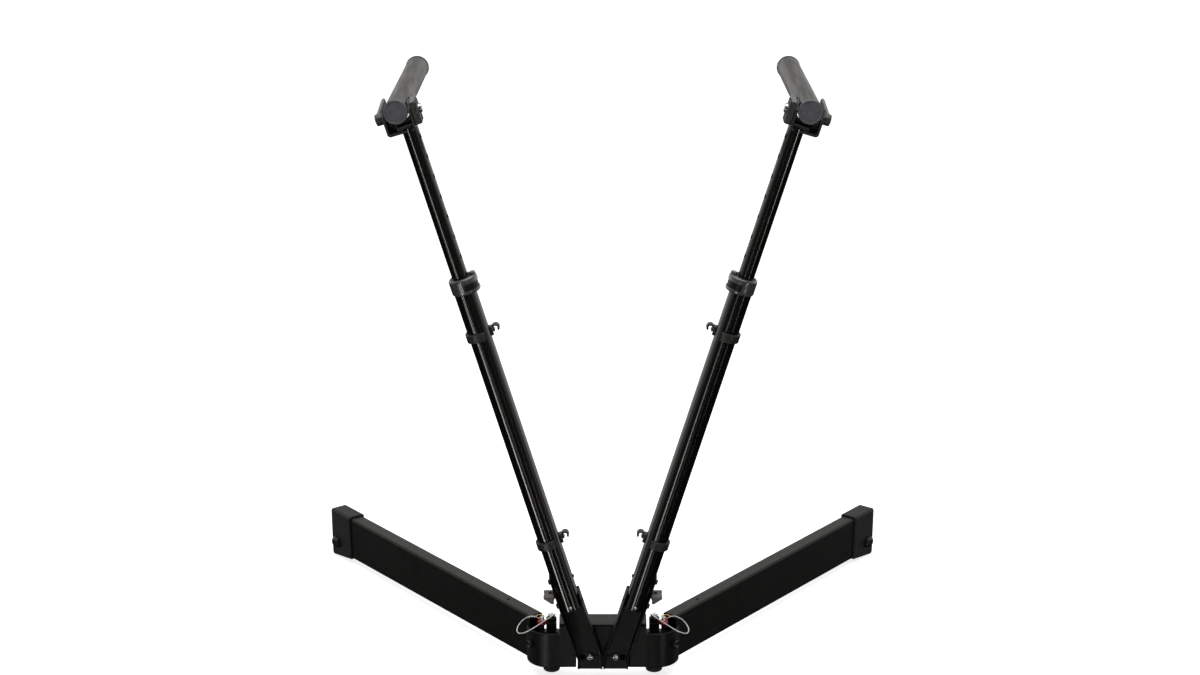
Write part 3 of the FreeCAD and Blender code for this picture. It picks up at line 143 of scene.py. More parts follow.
STAND = Place(np.zeros(3), np.eye(3))
PIVOT = STAND.moved(PIVOT_X, PIVOT_Y, 0)
LEG = PIVOT.turned(Axis.Z, -LEG_OPENING).moved(0, 0, LEG_MIDDLE).turned(Axis.X, -LEG_FALL)
COLUMN = STAND.moved(*COLUMN_FOOT).turned(Axis.Y, COLUMN_LEAN)
HEAD = COLUMN.moved(*ARM_BOLT)
ARM = HEAD.turned(Axis.X, -ARM_FALL)
# Turns that lay a frame's own Z along another axis of the frame that it starts from.
ALONG_X = ((Axis.Y, 90.0),)
ALONG_Y = ((Axis.X, -90.0),)
AGAINST_Y = ((Axis.X, 90.0),)


def facing(place: Place, turns: Sequence[tuple[Axis, float]]) -> Place:
    """A place after a row of turns about its own axes.

    Args:
        place: The frame to start from.
        turns: Axis and degrees of each turn.

    Returns:
        The turned frame.
    """
    for axis, degrees in turns:
        place = place.turned(axis, degrees)
    return place


# ---------------------------------------------------------------------------------------- surfaces


def lofted(rings: np.ndarray, closed: bool = False) -> Shell:
    """Closed surface through a row of rings.

    Quads join point k of each ring to point k of the next. The first and last ring are closed with
    one flat face each, unless the row of rings itself closes, as on a torus.

    Args:
        rings: Points of shape (rings, points in a ring, 3).
        closed: Whether the last ring joins the first.

    Returns:
        The surface.
    """
    count, around = rings.shape[:2]
    row = np.arange(count if closed else count - 1)[:, None]
    column = np.arange(around)[None, :]
    after, beside = (row + 1) % count, (column + 1) % around
    corners = [row * around + column, row * around + beside,
               after * around + beside, after * around + column]
    quads = np.stack(np.broadcast_arrays(*corners), axis=-1).reshape(-1, 4)
    faces = [tuple(quad) for quad in quads.tolist()]
    if not closed:
        faces.append(tuple(range(around)))
        faces.append(tuple(range((count - 1) * around, count * around)))
    return Shell(rings.reshape(-1, 3), faces)


def turned(profile: Sequence[tuple[float, ...]], sides: int = 72,
           wave: Callable[[np.ndarray], np.ndarray] | None = None) -> Shell:
    """Surface of revolution about Z: x = r cos a, y = r sin a, z = z for each point of the profile.

    Args:
        profile: Radius and height of each point, and optionally the share of the wave it takes.
        sides: Points round the axis.
        wave: Radius to add at an angle, such as flutes or a hexagon.

    Returns:
        The surface, closed at its poles.
    """
    table = np.array([(*point, 0.0)[:3] for point in profile], float)
    angle = np.linspace(0, math.tau, sides, endpoint=False)
    radius = table[:, 0:1] + table[:, 2:3] * (wave(angle) if wave else 0 * angle)[None, :]
    height = np.broadcast_to(table[:, 1:2], radius.shape)
    rings = np.stack([radius * np.cos(angle), radius * np.sin(angle), height], axis=-1)
    return lofted(rings)


def rounded_outline(corners: Sequence[tuple[float, float, float]], steps: int = 5) -> np.ndarray:
    """Closed outline whose corners are arcs.

    Each arc touches both sides of its corner; its points lie on the circle round the point at
    distance radius / sin(half the corner's angle) from the corner along its bisector.

    Args:
        corners: First and second coordinate of each corner, and its radius.
        steps: Points on each arc.

    Returns:
        Points of shape (corners times steps, 2).
    """
    table = np.array(corners, float)
    corner, radius = table[:, :2], table[:, 2:3]
    back = np.roll(corner, 1, axis=0) - corner
    ahead = np.roll(corner, -1, axis=0) - corner
    back /= np.linalg.norm(back, axis=1, keepdims=True)
    ahead /= np.linalg.norm(ahead, axis=1, keepdims=True)
    half = np.arccos(np.clip((back * ahead).sum(1, keepdims=True), -1, 1)) / 2
    bisector = (back + ahead) / np.linalg.norm(back + ahead, axis=1, keepdims=True)
    centre = corner + bisector * radius / np.sin(half)
    start = corner + back * radius / np.tan(half) - centre
    end = corner + ahead * radius / np.tan(half) - centre
    share = np.linspace(0, 1, steps)[None, :, None]
    mix = start[:, None] * (1 - share) + end[:, None] * share
    mix *= radius[:, None] / np.maximum(np.linalg.norm(mix, axis=2, keepdims=True), 1e-9)
    return (centre[:, None] + mix).reshape(-1, 2)


def inset(outline: np.ndarray, amount: float) -> np.ndarray:
    """Outline moved inwards along its own normals.

    Args:
        outline: Closed outline, run round either way.
        amount: Distance to move.

    Returns:
        The moved outline.
    """
    along = np.roll(outline, -1, axis=0) - np.roll(outline, 1, axis=0)
    along /= np.maximum(np.linalg.norm(along, axis=1, keepdims=True), 1e-9)
    normal = np.stack([-along[:, 1], along[:, 0]], axis=1)
    following = np.roll(outline, -1, axis=0)
    area = (outline[:, 0] * following[:, 1] - following[:, 0] * outline[:, 1]).sum()
    return outline + normal * math.copysign(amount, area)


def slab(outline: np.ndarray, low: float, high: float, edge: float = 0.6, steps: int = 4) -> Shell:
    """Plate with rounded rims: the outline at heights from low to high.

    Near either face the outline moves inwards along a quarter circle: inset = edge (1 - sin a),
    height = edge (1 - cos a).

    Args:
        outline: Closed outline in the plate's own plane.
        low: Height of the lower face.
        high: Height of the upper face.
        edge: Radius of the rims.
        steps: Points on each quarter circle.

    Returns:
        The plate.
    """
    angle = np.linspace(0, math.pi / 2, steps)
    insets = edge * (1 - np.sin(angle))
    rises = edge * (1 - np.cos(angle))
    amounts = np.concatenate([insets, insets[::-1]])
    heights = np.concatenate([low + rises, (high - rises)[::-1]])
    rings = [np.column_stack([inset(outline, amount), np.full(len(outline), height)])
             for amount, height in zip(amounts, heights)]
    return lofted(np.array(rings))


def block(x: tuple[float, float], y: tuple[float, float], z: tuple[float, float],
          corner: float = 1.5, edge: float = 0.8) -> Shell:
    """Rounded block between two values on each axis.

    Args:
        x: Its two values on X.
        y: Its two values on Y.
        z: Its two values on Z.
        corner: Radius of the upright corners.
        edge: Radius of the upper and lower rims.

    Returns:
        The block.
    """
    outline = rounded_outline([(x[0], y[0], corner), (x[1], y[0], corner), (x[1], y[1], corner),
                               (x[0], y[1], corner)])
    return slab(outline, z[0], z[1], edge)


def section(half: float, low: float, high: float, edge: float, steps: int = 4) -> np.ndarray:
    """Rounded rectangle that is a wall's section: distance from the wall's middle, and height.

    Args:
        half: Half the wall's thickness.
        low: Its lower edge.
        high: Its upper edge.
        edge: Radius of the corners.
        steps: Points on each corner.

    Returns:
        Points of the section.
    """
    corners = [(-half, low, edge), (half, low, edge), (half, high, edge), (-half, high, edge)]
    return rounded_outline(corners, steps)


def wall(path: np.ndarray, profile: np.ndarray, closed: bool = False) -> Shell:
    """Wall carried along a level path.

    A ring stands at each point p of the path: p + d n at height h, with n the path's normal there
    and (d, h) the points of the profile.

    Args:
        path: Points of the path, shape (points, 2).
        profile: Distance and height of the wall's section.
        closed: Whether the path closes.

    Returns:
        The wall.
    """
    along = np.gradient(path, axis=0)
    if closed:
        along = np.roll(path, -1, axis=0) - np.roll(path, 1, axis=0)
    along /= np.linalg.norm(along, axis=1, keepdims=True)
    normal = np.stack([along[:, 1], -along[:, 0]], axis=1)
    level = path[:, None, :] + normal[:, None, :] * profile[None, :, 0:1]
    height = np.broadcast_to(profile[None, :, 1:2], level.shape[:2] + (1,))
    return lofted(np.concatenate([level, height], axis=2), closed)


def arc(radius: float, start: float, end: float, steps: int,
        centre: tuple[float, float] = (0, 0)) -> np.ndarray:
    """Points of an arc: centre + radius (cos a, sin a), with a from start to end.

    Args:
        radius: Radius of the arc.
        start: First angle, in degrees.
        end: Last angle, in degrees.
        steps: Number of points.
        centre: Middle of the arc.

    Returns:
        Points of shape (steps, 2).
    """
    angle = np.radians(np.linspace(start, end, steps))
    return np.column_stack([centre[0] + radius * np.cos(angle), centre[1] + radius * np.sin(angle)])


def wire(path: np.ndarray, radius: float, sides: int = 12, flat: float = 1.0) -> Shell:
    """Round or flat wire along a line in space.

    Each ring is p + r (cos a u + flat sin a v), where u and v are square to the line; u is carried
    from point to point by taking away its part along the line, so that the wire doesn't twist.

    Args:
        path: Points of the line, shape (points, 3).
        radius: Radius of the wire.
        sides: Points in a ring.
        flat: Thickness across, as a share of the radius.

    Returns:
        The wire, with length along it and angle round it as UV.
    """
    along = np.gradient(path, axis=0)
    along /= np.linalg.norm(along, axis=1, keepdims=True)
    start = np.cross(along[0], (0.0, 0.0, 1.0) if abs(along[0][2]) < 0.9 else (1.0, 0.0, 0.0))
    across = [start / np.linalg.norm(start)]
    for direction in along[1:]:
        carried = across[-1] - direction * (across[-1] @ direction)
        across.append(carried / np.linalg.norm(carried))
    first = np.array(across)
    second = np.cross(along, first)
    angle = np.linspace(0, math.tau, sides, endpoint=False)
    rings = (path[:, None] + radius * np.cos(angle)[None, :, None] * first[:, None]
             + flat * radius * np.sin(angle)[None, :, None] * second[:, None])
    shell = lofted(rings)
    steps = np.linalg.norm(np.diff(path, axis=0), axis=1)
    length = np.concatenate([[0.0], np.cumsum(steps)])
    row, column = np.meshgrid(np.arange(len(path) - 1), np.arange(sides), indexing="ij")
    u = np.stack([length[row], length[row], length[row + 1], length[row + 1]], axis=-1).reshape(-1)
    v = np.stack([column, column + 1, column + 1, column], axis=-1).reshape(-1) / sides
    caps = np.zeros((2 * sides, 2))
    shell.corner_uv = np.concatenate([np.column_stack([u, v]), caps])
    return shell


def channel(half: tuple[float, float], back: float, front: np.ndarray, heights: np.ndarray,
            bend: float, sheet: float) -> Shell:
    """Folded U of sheet: two cheeks and a back, whose cheeks end at their own depth at each height.

    The sheet's middle line runs from the first cheek's free edge (x = -half, y = front) to the back
    (y = back), across it and out to the other free edge, with arcs of the bend's radius. Each ring
    is that line moved half a sheet to either side, with its free edges rounded off.

    Args:
        half: Distance of each cheek's middle from the axis.
        back: Middle of the back.
        front: Free edge of the cheeks at each height.
        heights: Heights of the rings.
        bend: Radius of the two bends, to the middle of the sheet.
        sheet: Thickness of the sheet.

    Returns:
        The channel.
    """
    straight_points, arc_points = 6, 7
    rings = []
    for free, height in zip(front, heights):
        cheek = np.linspace(free + sheet / 2, back - bend, straight_points)
        left = np.column_stack([np.full(straight_points, -half[0]), cheek])
        right = np.column_stack([np.full(straight_points, half[1]), cheek[::-1]])
        first_bend = arc(bend, 180, 90, arc_points, (-half[0] + bend, back - bend))
        second_bend = arc(bend, 90, 0, arc_points, (half[1] - bend, back - bend))
        middle = np.concatenate([left, first_bend[1:], second_bend[:-1], right])
        along = np.gradient(middle, axis=0)
        along /= np.linalg.norm(along, axis=1, keepdims=True)
        normal = np.stack([-along[:, 1], along[:, 0]], axis=1) * sheet / 2
        start_cap, end_cap = (arc(sheet / 2, 0, -180, arc_points, tuple(tip))[1:-1]
                              for tip in (middle[0], middle[-1]))
        outer, inner = middle + normal, middle - normal
        ring = np.concatenate([outer, end_cap, inner[::-1], start_cap])
        rings.append(np.column_stack([ring, np.full(len(ring), height)]))
    return lofted(np.array(rings))


def sideways(shell: Shell) -> Shell:
    """A plate stood up along Y: first coordinate to Y, second to Z, thickness to X."""
    return Shell(shell.points[:, [2, 0, 1]], shell.faces)


def crosswise(shell: Shell) -> Shell:
    """A plate stood up across Y: first coordinate to X, second to Z, thickness to -Y."""
    return Shell(shell.points[:, [0, 2, 1]] * (1, -1, 1), shell.faces)


def upturned(shell: Shell) -> Shell:
    """A channel laid with its back downwards and its length along Y."""
    return Shell(shell.points[:, [0, 2, 1]] * (1, 1, -1), shell.faces)


def mirrored(shell: Shell) -> Shell:
    """The shell's mirror image on the other side of the stand."""
    return Shell(shell.points * (-1, 1, 1), shell.faces, shell.corner_uv)


def fluted(count: int, depth: float) -> Callable[[np.ndarray], np.ndarray]:
    """Wave of shallow grooves round a turned piece: -depth (1 + cos(count a)) / 2."""
    return lambda angle: -depth * (1 + np.cos(count * angle)) / 2


def hexagonal(flat: float) -> Callable[[np.ndarray], np.ndarray]:
    """Wave that turns a zero radius into a hexagon: flat / cos(a from the middle of its side)."""
    sixth = math.pi / 3
    return lambda angle: flat / np.cos(np.mod(angle, sixth) - sixth / 2)


# ---------------------------------------------------------------------------------------- finishes


class Graph:
    """A node tree that is built one node at a time."""

    def __init__(self, tree: bpy.types.NodeTree) -> None:
        """Empties the tree."""
        self.tree = tree
        tree.nodes.clear()

    def node(self, kind: str, **settings) -> bpy.types.Node:
        """New node, with its settings."""
        made = self.tree.nodes.new(kind)
        for name, value in settings.items():
            setattr(made, name, value)
        return made

    def put(self, socket: bpy.types.NodeSocket, value) -> None:
        """Links a socket to another, or sets it to a value."""
        if isinstance(value, bpy.types.NodeSocket):
            self.tree.links.new(value, socket)
        else:
            socket.default_value = value

    def value(self, operation: str, *terms) -> bpy.types.NodeSocket:
        """Result of a Math node."""
        made = self.node("ShaderNodeMath", operation=operation)
        for socket, term in zip(made.inputs, terms):
            self.put(socket, term)
        return made.outputs[0]

    def dot(self, first, second) -> bpy.types.NodeSocket:
        """Dot product of two vectors."""
        made = self.node("ShaderNodeVectorMath", operation="DOT_PRODUCT")
        self.put(made.inputs[0], first)
        self.put(made.inputs[1], second)
        return made.outputs["Value"]

    def ramp(self, value, low: float, high: float, to_low: float = 0.0, to_high: float = 1.0,
             smooth: bool = True) -> bpy.types.NodeSocket:
        """Value mapped from one range to another, clamped.

        Args:
            value: Socket to map.
            low: Start of its range.
            high: End of its range.
            to_low: Result at the start.
            to_high: Result at the end.
            smooth: Whether the step is smooth instead of straight.

        Returns:
            The mapped socket.
        """
        step = "SMOOTHSTEP" if smooth else "LINEAR"
        made = self.node("ShaderNodeMapRange", interpolation_type=step)
        names = ("From Min", "From Max", "To Min", "To Max")
        for name, number in zip(names, (low, high, to_low, to_high)):
            made.inputs[name].default_value = number
        self.put(made.inputs["Value"], value)
        return made.outputs["Result"]

    def noise(self, vector, size: float, detail: float = 2.0,
              distortion: float = 0.0) -> bpy.types.NodeSocket:
        """Noise whose patches measure about size millimetres.

        Args:
            vector: Coordinates that it is read at.
            size: Size of its patches.
            detail: Number of finer layers.
            distortion: How far the patches are drawn out of shape.

        Returns:
            The noise, about 0.2 to 0.8.
        """
        made = self.node("ShaderNodeTexNoise")
        self.put(made.inputs["Vector"], vector)
        made.inputs["Scale"].default_value = 1 / (size * MM)
        made.inputs["Detail"].default_value = detail
        made.inputs["Distortion"].default_value = distortion
        return made.outputs["Fac"]


@dataclass(frozen=True)
class Finish:
    """A surface finish: two mottled colours, gloss that varies, and fine relief.

    Sizes are millimetres. The pattern may be stretched along an axis that leans about Y, as drawing
    marks run along a tube.
    """

    name: str
    colour: tuple[float, float, float]
    shade: tuple[float, float, float]
    patch: float = 14.0
    rough: tuple[float, float] = (0.35, 0.5)
    grain: float = 0.8
    relief: float = 0.02
    metallic: float = 0.0
    coat: float = 0.0
    coat_roughness: float = 0.1
    specular: float = 0.5
    stretch: tuple[float, float, float] = (1.0, 1.0, 1.0)
    lean: float = 0.0
    scuff: float = 0.0

    def build(self) -> bpy.types.Material:
        """Makes the material."""
        material = bpy.data.materials.new(self.name)
        material.use_nodes = True
        graph = Graph(material.node_tree)
        output = graph.node("ShaderNodeOutputMaterial")
        shader = graph.node("ShaderNodeBsdfPrincipled")
        graph.put(output.inputs["Surface"], shader.outputs["BSDF"])
        vector = self.vector(graph)
        patches = graph.noise(vector, self.patch, 4.0, 0.6)
        mix = graph.node("ShaderNodeMix", data_type="RGBA")
        graph.put(mix.inputs["Factor"], graph.ramp(patches, 0.35, 0.65))
        mix.inputs["A"].default_value = (*self.colour, 1.0)
        mix.inputs["B"].default_value = (*self.shade, 1.0)
        graph.put(shader.inputs["Base Color"], self.scuffed(graph, vector, mix.outputs["Result"]))
        wander = graph.noise(vector, self.patch * 0.45, 5.0)
        graph.put(shader.inputs["Roughness"], graph.ramp(wander, 0.3, 0.7, *self.rough))
        graph.put(shader.inputs["Normal"], self.bumps(graph, vector))
        constants = {"Metallic": self.metallic, "Coat Weight": self.coat,
                     "Coat Roughness": self.coat_roughness, "Specular IOR Level": self.specular}
        for name, number in constants.items():
            shader.inputs[name].default_value = number
        return material

    def vector(self, graph: Graph) -> bpy.types.NodeSocket:
        """Object coordinates, turned and stretched for the pattern."""
        place = graph.node("ShaderNodeTexCoord")
        turn = graph.node("ShaderNodeMapping")
        turn.inputs["Rotation"].default_value = (0.0, math.radians(-self.lean), 0.0)
        graph.put(turn.inputs["Vector"], place.outputs["Object"])
        pull = graph.node("ShaderNodeMapping")
        pull.inputs["Scale"].default_value = self.stretch
        graph.put(pull.inputs["Vector"], turn.outputs["Vector"])
        return pull.outputs["Vector"]

    def scuffed(self, graph: Graph, vector, colour) -> bpy.types.NodeSocket:
        """Colour with a few pale rub marks, where the finish has them."""
        if not self.scuff:
            return colour
        grains = graph.noise(vector, self.patch * 0.12, 6.0, 1.5)
        marks = graph.ramp(grains, 0.66, 0.78, 0.0, self.scuff)
        mix = graph.node("ShaderNodeMix", data_type="RGBA")
        graph.put(mix.inputs["Factor"], marks)
        graph.put(mix.inputs["A"], colour)
        mix.inputs["B"].default_value = (0.16, 0.155, 0.15, 1.0)
        return mix.outputs["Result"]

    def bumps(self, graph: Graph, vector) -> bpy.types.NodeSocket:
        """Fine relief of the finish."""
        bump = graph.node("ShaderNodeBump")
        bump.inputs["Strength"].default_value = 0.6
        bump.inputs["Distance"].default_value = self.relief * MM
        graph.put(bump.inputs["Height"], graph.noise(vector, self.grain, 3.0))
        return bump.outputs["Normal"]


@dataclass(frozen=True)
class StrandedWire(Finish):
    """Steel strands laid round a lanyard, under a thin clear sheath.

    The strands follow the wire's own UV: length along it in millimetres, and share of its round.
    """

    strands: float = 6.0
    lay: float = 9.0

    def bumps(self, graph: Graph, vector) -> bpy.types.NodeSocket:
        """Helical strands: sin(2 pi strands (round + length / lay))."""
        place = graph.node("ShaderNodeUVMap", uv_map="Along")
        parts = graph.node("ShaderNodeSeparateXYZ")
        graph.put(parts.inputs[0], place.outputs[0])
        wound = graph.value("MULTIPLY", parts.outputs[0], 1 / self.lay)
        turns = graph.value("ADD", wound, parts.outputs[1])
        height = graph.value("SINE", graph.value("MULTIPLY", turns, math.tau * self.strands))
        bump = graph.node("ShaderNodeBump")
        bump.inputs["Strength"].default_value = 0.8
        bump.inputs["Distance"].default_value = self.relief * MM
        graph.put(bump.inputs["Height"], height)
        return bump.outputs["Normal"]


def drawn(name: str, lean: float) -> Finish:
    """Glossy black anodising of a drawn column tube, its marks along the tube.

    Args:
        name: Name of the material.
        lean: Degrees that the tube leans about Y.

    Returns:
        The finish.
    """
    return Finish(name, (0.0045, 0.0038, 0.0034), (0.0062, 0.0052, 0.0045), 9.0, (0.13, 0.18), 0.9,
                  0.002, coat=0.25, coat_roughness=0.08, stretch=(1.0, 1.0, 0.04), lean=lean,
                  specular=0.55)


class FinishBook:
    """Every finish of the stand, made once, found by its slot and the piece's side."""

    def __init__(self) -> None:
        """Makes the materials."""
        finishes = {
            "anodised": Finish(
                "satin_black_anodising", (0.0044, 0.0036, 0.003), (0.0062, 0.0053, 0.0045),
                16.0, (0.28, 0.38), 0.5, 0.01, specular=0.32),
            "arm": Finish(
                "satin_black_arm_tube", (0.008, 0.0072, 0.0068), (0.011, 0.01, 0.0095), 16.0,
                (0.34, 0.44), 0.5, 0.01, specular=0.3, stretch=(1.0, 0.06, 1.0)),
            "painted": Finish(
                "satin_black_powder", (0.0044, 0.0037, 0.0032), (0.0066, 0.0057, 0.005), 18.0,
                (0.36, 0.5), 1.3, 0.05, specular=0.32, scuff=0.12),
            # Lighter copy of the black powder coat for the yoke and the stay: the extra lightness
            # is painted light for the head, which catches more light.
            "head_paint_with_painted_light": Finish(
                "head_powder_coat", (0.026, 0.0255, 0.0265), (0.036, 0.035, 0.036), 14.0,
                (0.34, 0.48), 1.3, 0.05, scuff=0.3),
            # Lighter copy of the black plastic for the clamp block and lever: the extra lightness
            # is painted light for the head.
            "head_plastic_with_painted_light": Finish(
                "head_moulded_plastic", (0.042, 0.04, 0.038), (0.056, 0.053, 0.05), 8.0,
                (0.32, 0.46), 0.6, 0.02, coat=0.2),
            "disc_plastic": Finish(
                "end_cap_plastic", (0.096, 0.096, 0.112), (0.122, 0.121, 0.138), 11.0,
                (0.45, 0.6), 0.5, 0.03, specular=0.6),
            # The paddle's moulded plastic lightened to grey: painted light for its lit top and
            # painted reflection.
            "paddle": Finish(
                "paddle_plastic", (0.13, 0.12, 0.11), (0.155, 0.145, 0.135), 8.0, (0.38, 0.5),
                0.5, 0.02),
            "cast": Finish(
                "cast_black_enamel", (0.0052, 0.0047, 0.0044), (0.0078, 0.0071, 0.0067), 16.0,
                (0.34, 0.48), 1.6, 0.07, specular=0.25),
            "moulded": Finish(
                "gloss_moulded_black", (0.068, 0.065, 0.067), (0.086, 0.082, 0.084), 12.0,
                (0.24, 0.34), 0.6, 0.012, coat=1.0, coat_roughness=0.14),
            "cap_plastic": Finish(
                "grained_grey_plastic", (0.0105, 0.011, 0.0125), (0.0145, 0.015, 0.0165), 10.0,
                (0.45, 0.58), 0.45, 0.03, specular=0.36),
            "black_plastic": Finish(
                "moulded_black_plastic", (0.022, 0.0205, 0.0195), (0.03, 0.028, 0.0265), 9.0,
                (0.38, 0.52), 0.5, 0.02),
            "rubber": Finish(
                "foot_rubber", (0.018, 0.0175, 0.017), (0.026, 0.025, 0.024), 6.0, (0.62, 0.8),
                0.6, 0.04),
            "steel": Finish(
                "bright_turned_steel", (0.62, 0.61, 0.6), (0.5, 0.5, 0.5), 3.0, (0.16, 0.32),
                0.3, 0.006, metallic=1.0, stretch=(1.0, 1.0, 3.0)),
            "black_steel": Finish(
                "black_oxide_steel", (0.03, 0.03, 0.032), (0.05, 0.048, 0.047), 3.0,
                (0.3, 0.42), 0.4, 0.01, metallic=0.7),
            "red_plastic": Finish(
                "red_anodised_collar", (0.5, 0.012, 0.016), (0.36, 0.008, 0.012), 3.0,
                (0.2, 0.32), 0.3, 0.006, coat=0.4),
            "brass": Finish(
                "worn_brass", (0.72, 0.5, 0.24), (0.6, 0.38, 0.17), 2.5, (0.18, 0.34), 0.3,
                0.006, metallic=1.0),
            "wire": StrandedWire(
                "stranded_lanyard_wire", (0.78, 0.78, 0.77), (0.66, 0.66, 0.66), 3.0,
                (0.25, 0.38), 0.3, 0.09, metallic=0.55, coat=0.7, coat_roughness=0.15),
        }
        self.made = {slot: finish.build() for slot, finish in finishes.items()}
        for side in Side:
            finish = drawn("anodised_column_" + side.word, COLUMN_LEAN * side.value)
            self.made["column_" + side.word] = finish.build()

    def of_node(self, node: bpy.types.Object) -> bpy.types.Material:
        """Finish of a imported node: its slot's, but black on the screws of the shoes."""
        slot = node.material_slots[0].material.name
        return self.made["black_steel" if node.name.startswith("cap_screw") else slot]


# ---------------------------------------------------------------------------------- sub-assemblies


def evenly_shaded(piece: bpy.types.Object, degrees: float) -> None:
    """Shades a piece smoothly, with sharp edges where its faces turn by more than an angle."""
    piece.data.set_sharp_from_angle(angle=math.radians(degrees))
    even = piece.modifiers.new("Even shading", "WEIGHTED_NORMAL")
    even.keep_sharp = True


def mesh_piece(name: str, shells: Sequence[Shell], side: Side) -> bpy.types.Object:
    """One piece from its shells: joined, merged, faced outwards and shaded evenly.

    Args:
        name: Name of the piece.
        shells: Its closed surfaces on the right side, in millimetres.
        side: The side that it belongs to.

    Returns:
        The object, at the origin, with its place in its mesh.
    """
    starts = np.cumsum([0] + [len(shell.points) for shell in shells])
    faces = [tuple(corner + start for corner in face)
             for shell, start in zip(shells, starts.tolist()) for face in shell.faces]
    points = np.concatenate([shell.points for shell in shells]) * (side.value, 1, 1) * MM
    mesh = bpy.data.meshes.new(name)
    mesh.from_pydata(points.tolist(), [], faces)
    if shells[0].corner_uv is not None:
        layer = mesh.uv_layers.new(name="Along")
        layer.data.foreach_set("uv", shells[0].corner_uv.astype(np.float32).ravel())
    shape = bmesh.new()
    shape.from_mesh(mesh)
    bmesh.ops.remove_doubles(shape, verts=shape.verts, dist=1e-6)
    bmesh.ops.recalc_face_normals(shape, faces=shape.faces)
    shape.to_mesh(mesh)
    shape.free()
    mesh.shade_smooth()
    piece = bpy.data.objects.new(name, mesh)
    bpy.context.scene.collection.objects.link(piece)
    evenly_shaded(piece, 48)
    return piece


@dataclass
class SubAssembly:
    """Pieces of one side that belong together."""

    side: Side
    book: FinishBook

    def add(self, name: str, shells: Sequence[Shell], body: str, slot: str,
            replaced: str = "", finish: str = "") -> bpy.types.Object:
        """Makes a piece, lets it ride and gives it its finish.

        Args:
            name: Name of the piece without its side.
            shells: Its surfaces, in the stand's frame.
            body: The body it moves with, without its side.
            slot: The record's slot that it takes its finish from.
            replaced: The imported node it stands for, without its side.
            finish: Name of its finish, where it isn't the slot's.

        Returns:
            The piece.
        """
        piece = mesh_piece(f"{name}_{self.side.word}", shells, self.side)
        piece.data.materials.append(self.book.made[finish or slot])
        if body:
            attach(piece, body if body == "base" else f"{body}_{self.side.word}")
        if replaced:
            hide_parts(f"{replaced}_{self.side.word}")
        LOG.info("%s: %d faces", piece.name, len(piece.data.polygons))
        return piece


@dataclass
class LegRoot(SubAssembly):
    """Cup at the beam's end, with its plates, pivot stack and button."""

    outer: float = 40.0
    thick: float = 3.5
    rim: float = 80.0
    plate: float = 4.0
    upper_plate: float = 62.0
    back_radius: float = 17.9
    beam_end: float = -13.0
    wall_end: float = 88.0
    plate_end: float = 80.0
    nut: float = 8.6
    nut_top: float = 95.7
    nut_flat: float = 7.4
    shank: float = 6.25
    button_direction: float = 52.0
    button_height: float = 58.0
    button_flutes: tuple[int, float] = (24, 0.35)

    def build(self) -> None:
        """Makes the pieces of the leg's root."""
        self.cup()
        self.pivot_stack()
        self.button()

    def cup(self) -> None:
        """Bent wall with a rolled rim, and two pivot plates inside it."""
        middle = self.outer - self.thick / 2
        straight = np.column_stack([np.linspace(self.beam_end, 0, 6), np.full(6, -middle)])
        path = np.concatenate([straight[:-1], arc(middle, -90, self.wall_end - 90, 48)])
        shells = [wall(path, section(self.thick / 2, HUB_BOTTOM, self.rim, 1.4, 6))]
        inside = self.outer - self.thick + 0.4
        wide = arc(inside, -90, self.plate_end - 90, 40)
        last = 180 - math.degrees(math.acos(-self.beam_end / self.back_radius))
        narrow = arc(self.back_radius, self.plate_end - 90, last, 40)
        outline = np.concatenate([[(self.beam_end, -inside)], wide, narrow])
        for bottom in (HUB_BOTTOM + 0.05, self.upper_plate):
            shells.append(slab(outline, bottom, bottom + self.plate, 0.7))
        self.add("socket_cup", [PIVOT.of(shell) for shell in shells], "base", "cast", "leg_socket")

    def pivot_stack(self) -> None:
        """Shank, washer, ribbed sleeve, hexagon nut and small dome."""
        top_of_plate = self.upper_plate + self.plate
        profile = [(0, HUB_BOTTOM), (self.shank, HUB_BOTTOM), (self.shank, top_of_plate),
                   (10.2, top_of_plate), (10.9, top_of_plate + 0.5), (10.9, top_of_plate + 1.5),
                   (10.4, top_of_plate + 2), (self.nut - 0.6, top_of_plate + 2)]
        for rib in np.arange(top_of_plate + 2.6, self.nut_top - 11, 2.9):
            profile += [(self.nut - 0.9, rib), (self.nut, rib + 0.35), (self.nut, rib + 1.5),
                        (self.nut - 0.9, rib + 1.85)]
        nut_bottom = self.nut_top - 10.2
        profile += [(6.6, nut_bottom), (0, nut_bottom + 0.1, 1), (0, nut_bottom + 7.4, 1),
                    (6.4, nut_bottom + 8), (4.6, nut_bottom + 8.1), (4.2, self.nut_top - 0.8),
                    (2.6, self.nut_top - 0.1), (0, self.nut_top)]
        stack = turned(profile, 72, hexagonal(self.nut_flat))
        self.add("pivot_stack", [PIVOT.of(stack)], "base", "black_steel", "pivot_bolt")

    def button(self) -> None:
        """Spring button through the cup's wall, with a fluted rim and a dished face."""
        start = self.outer - 8.5
        face = self.outer + 8
        profile = [(0, start), (3.9, start), (3.9, start + 2.6), (5.4, start + 2.6),
                   (5.4, start + 4.1), (3.9, start + 4.1), (3.9, self.outer + 2.4),
                   (5.9, self.outer + 2.6), (6.6, self.outer + 3.4, 1), (6.7, face - 2.2, 1),
                   (6.3, face - 0.9, 0.5), (5.4, face), (4.6, face - 0.15), (3.4, face - 0.8),
                   (0, face - 1.1)]
        place = PIVOT.moved(0, 0, self.button_height).turned(Axis.Z, self.button_direction - 90)
        button = facing(place, ALONG_X).of(turned(profile, 96, fluted(*self.button_flutes)))
        self.add("push_button", [button], "button", "black_steel", "socket_button")


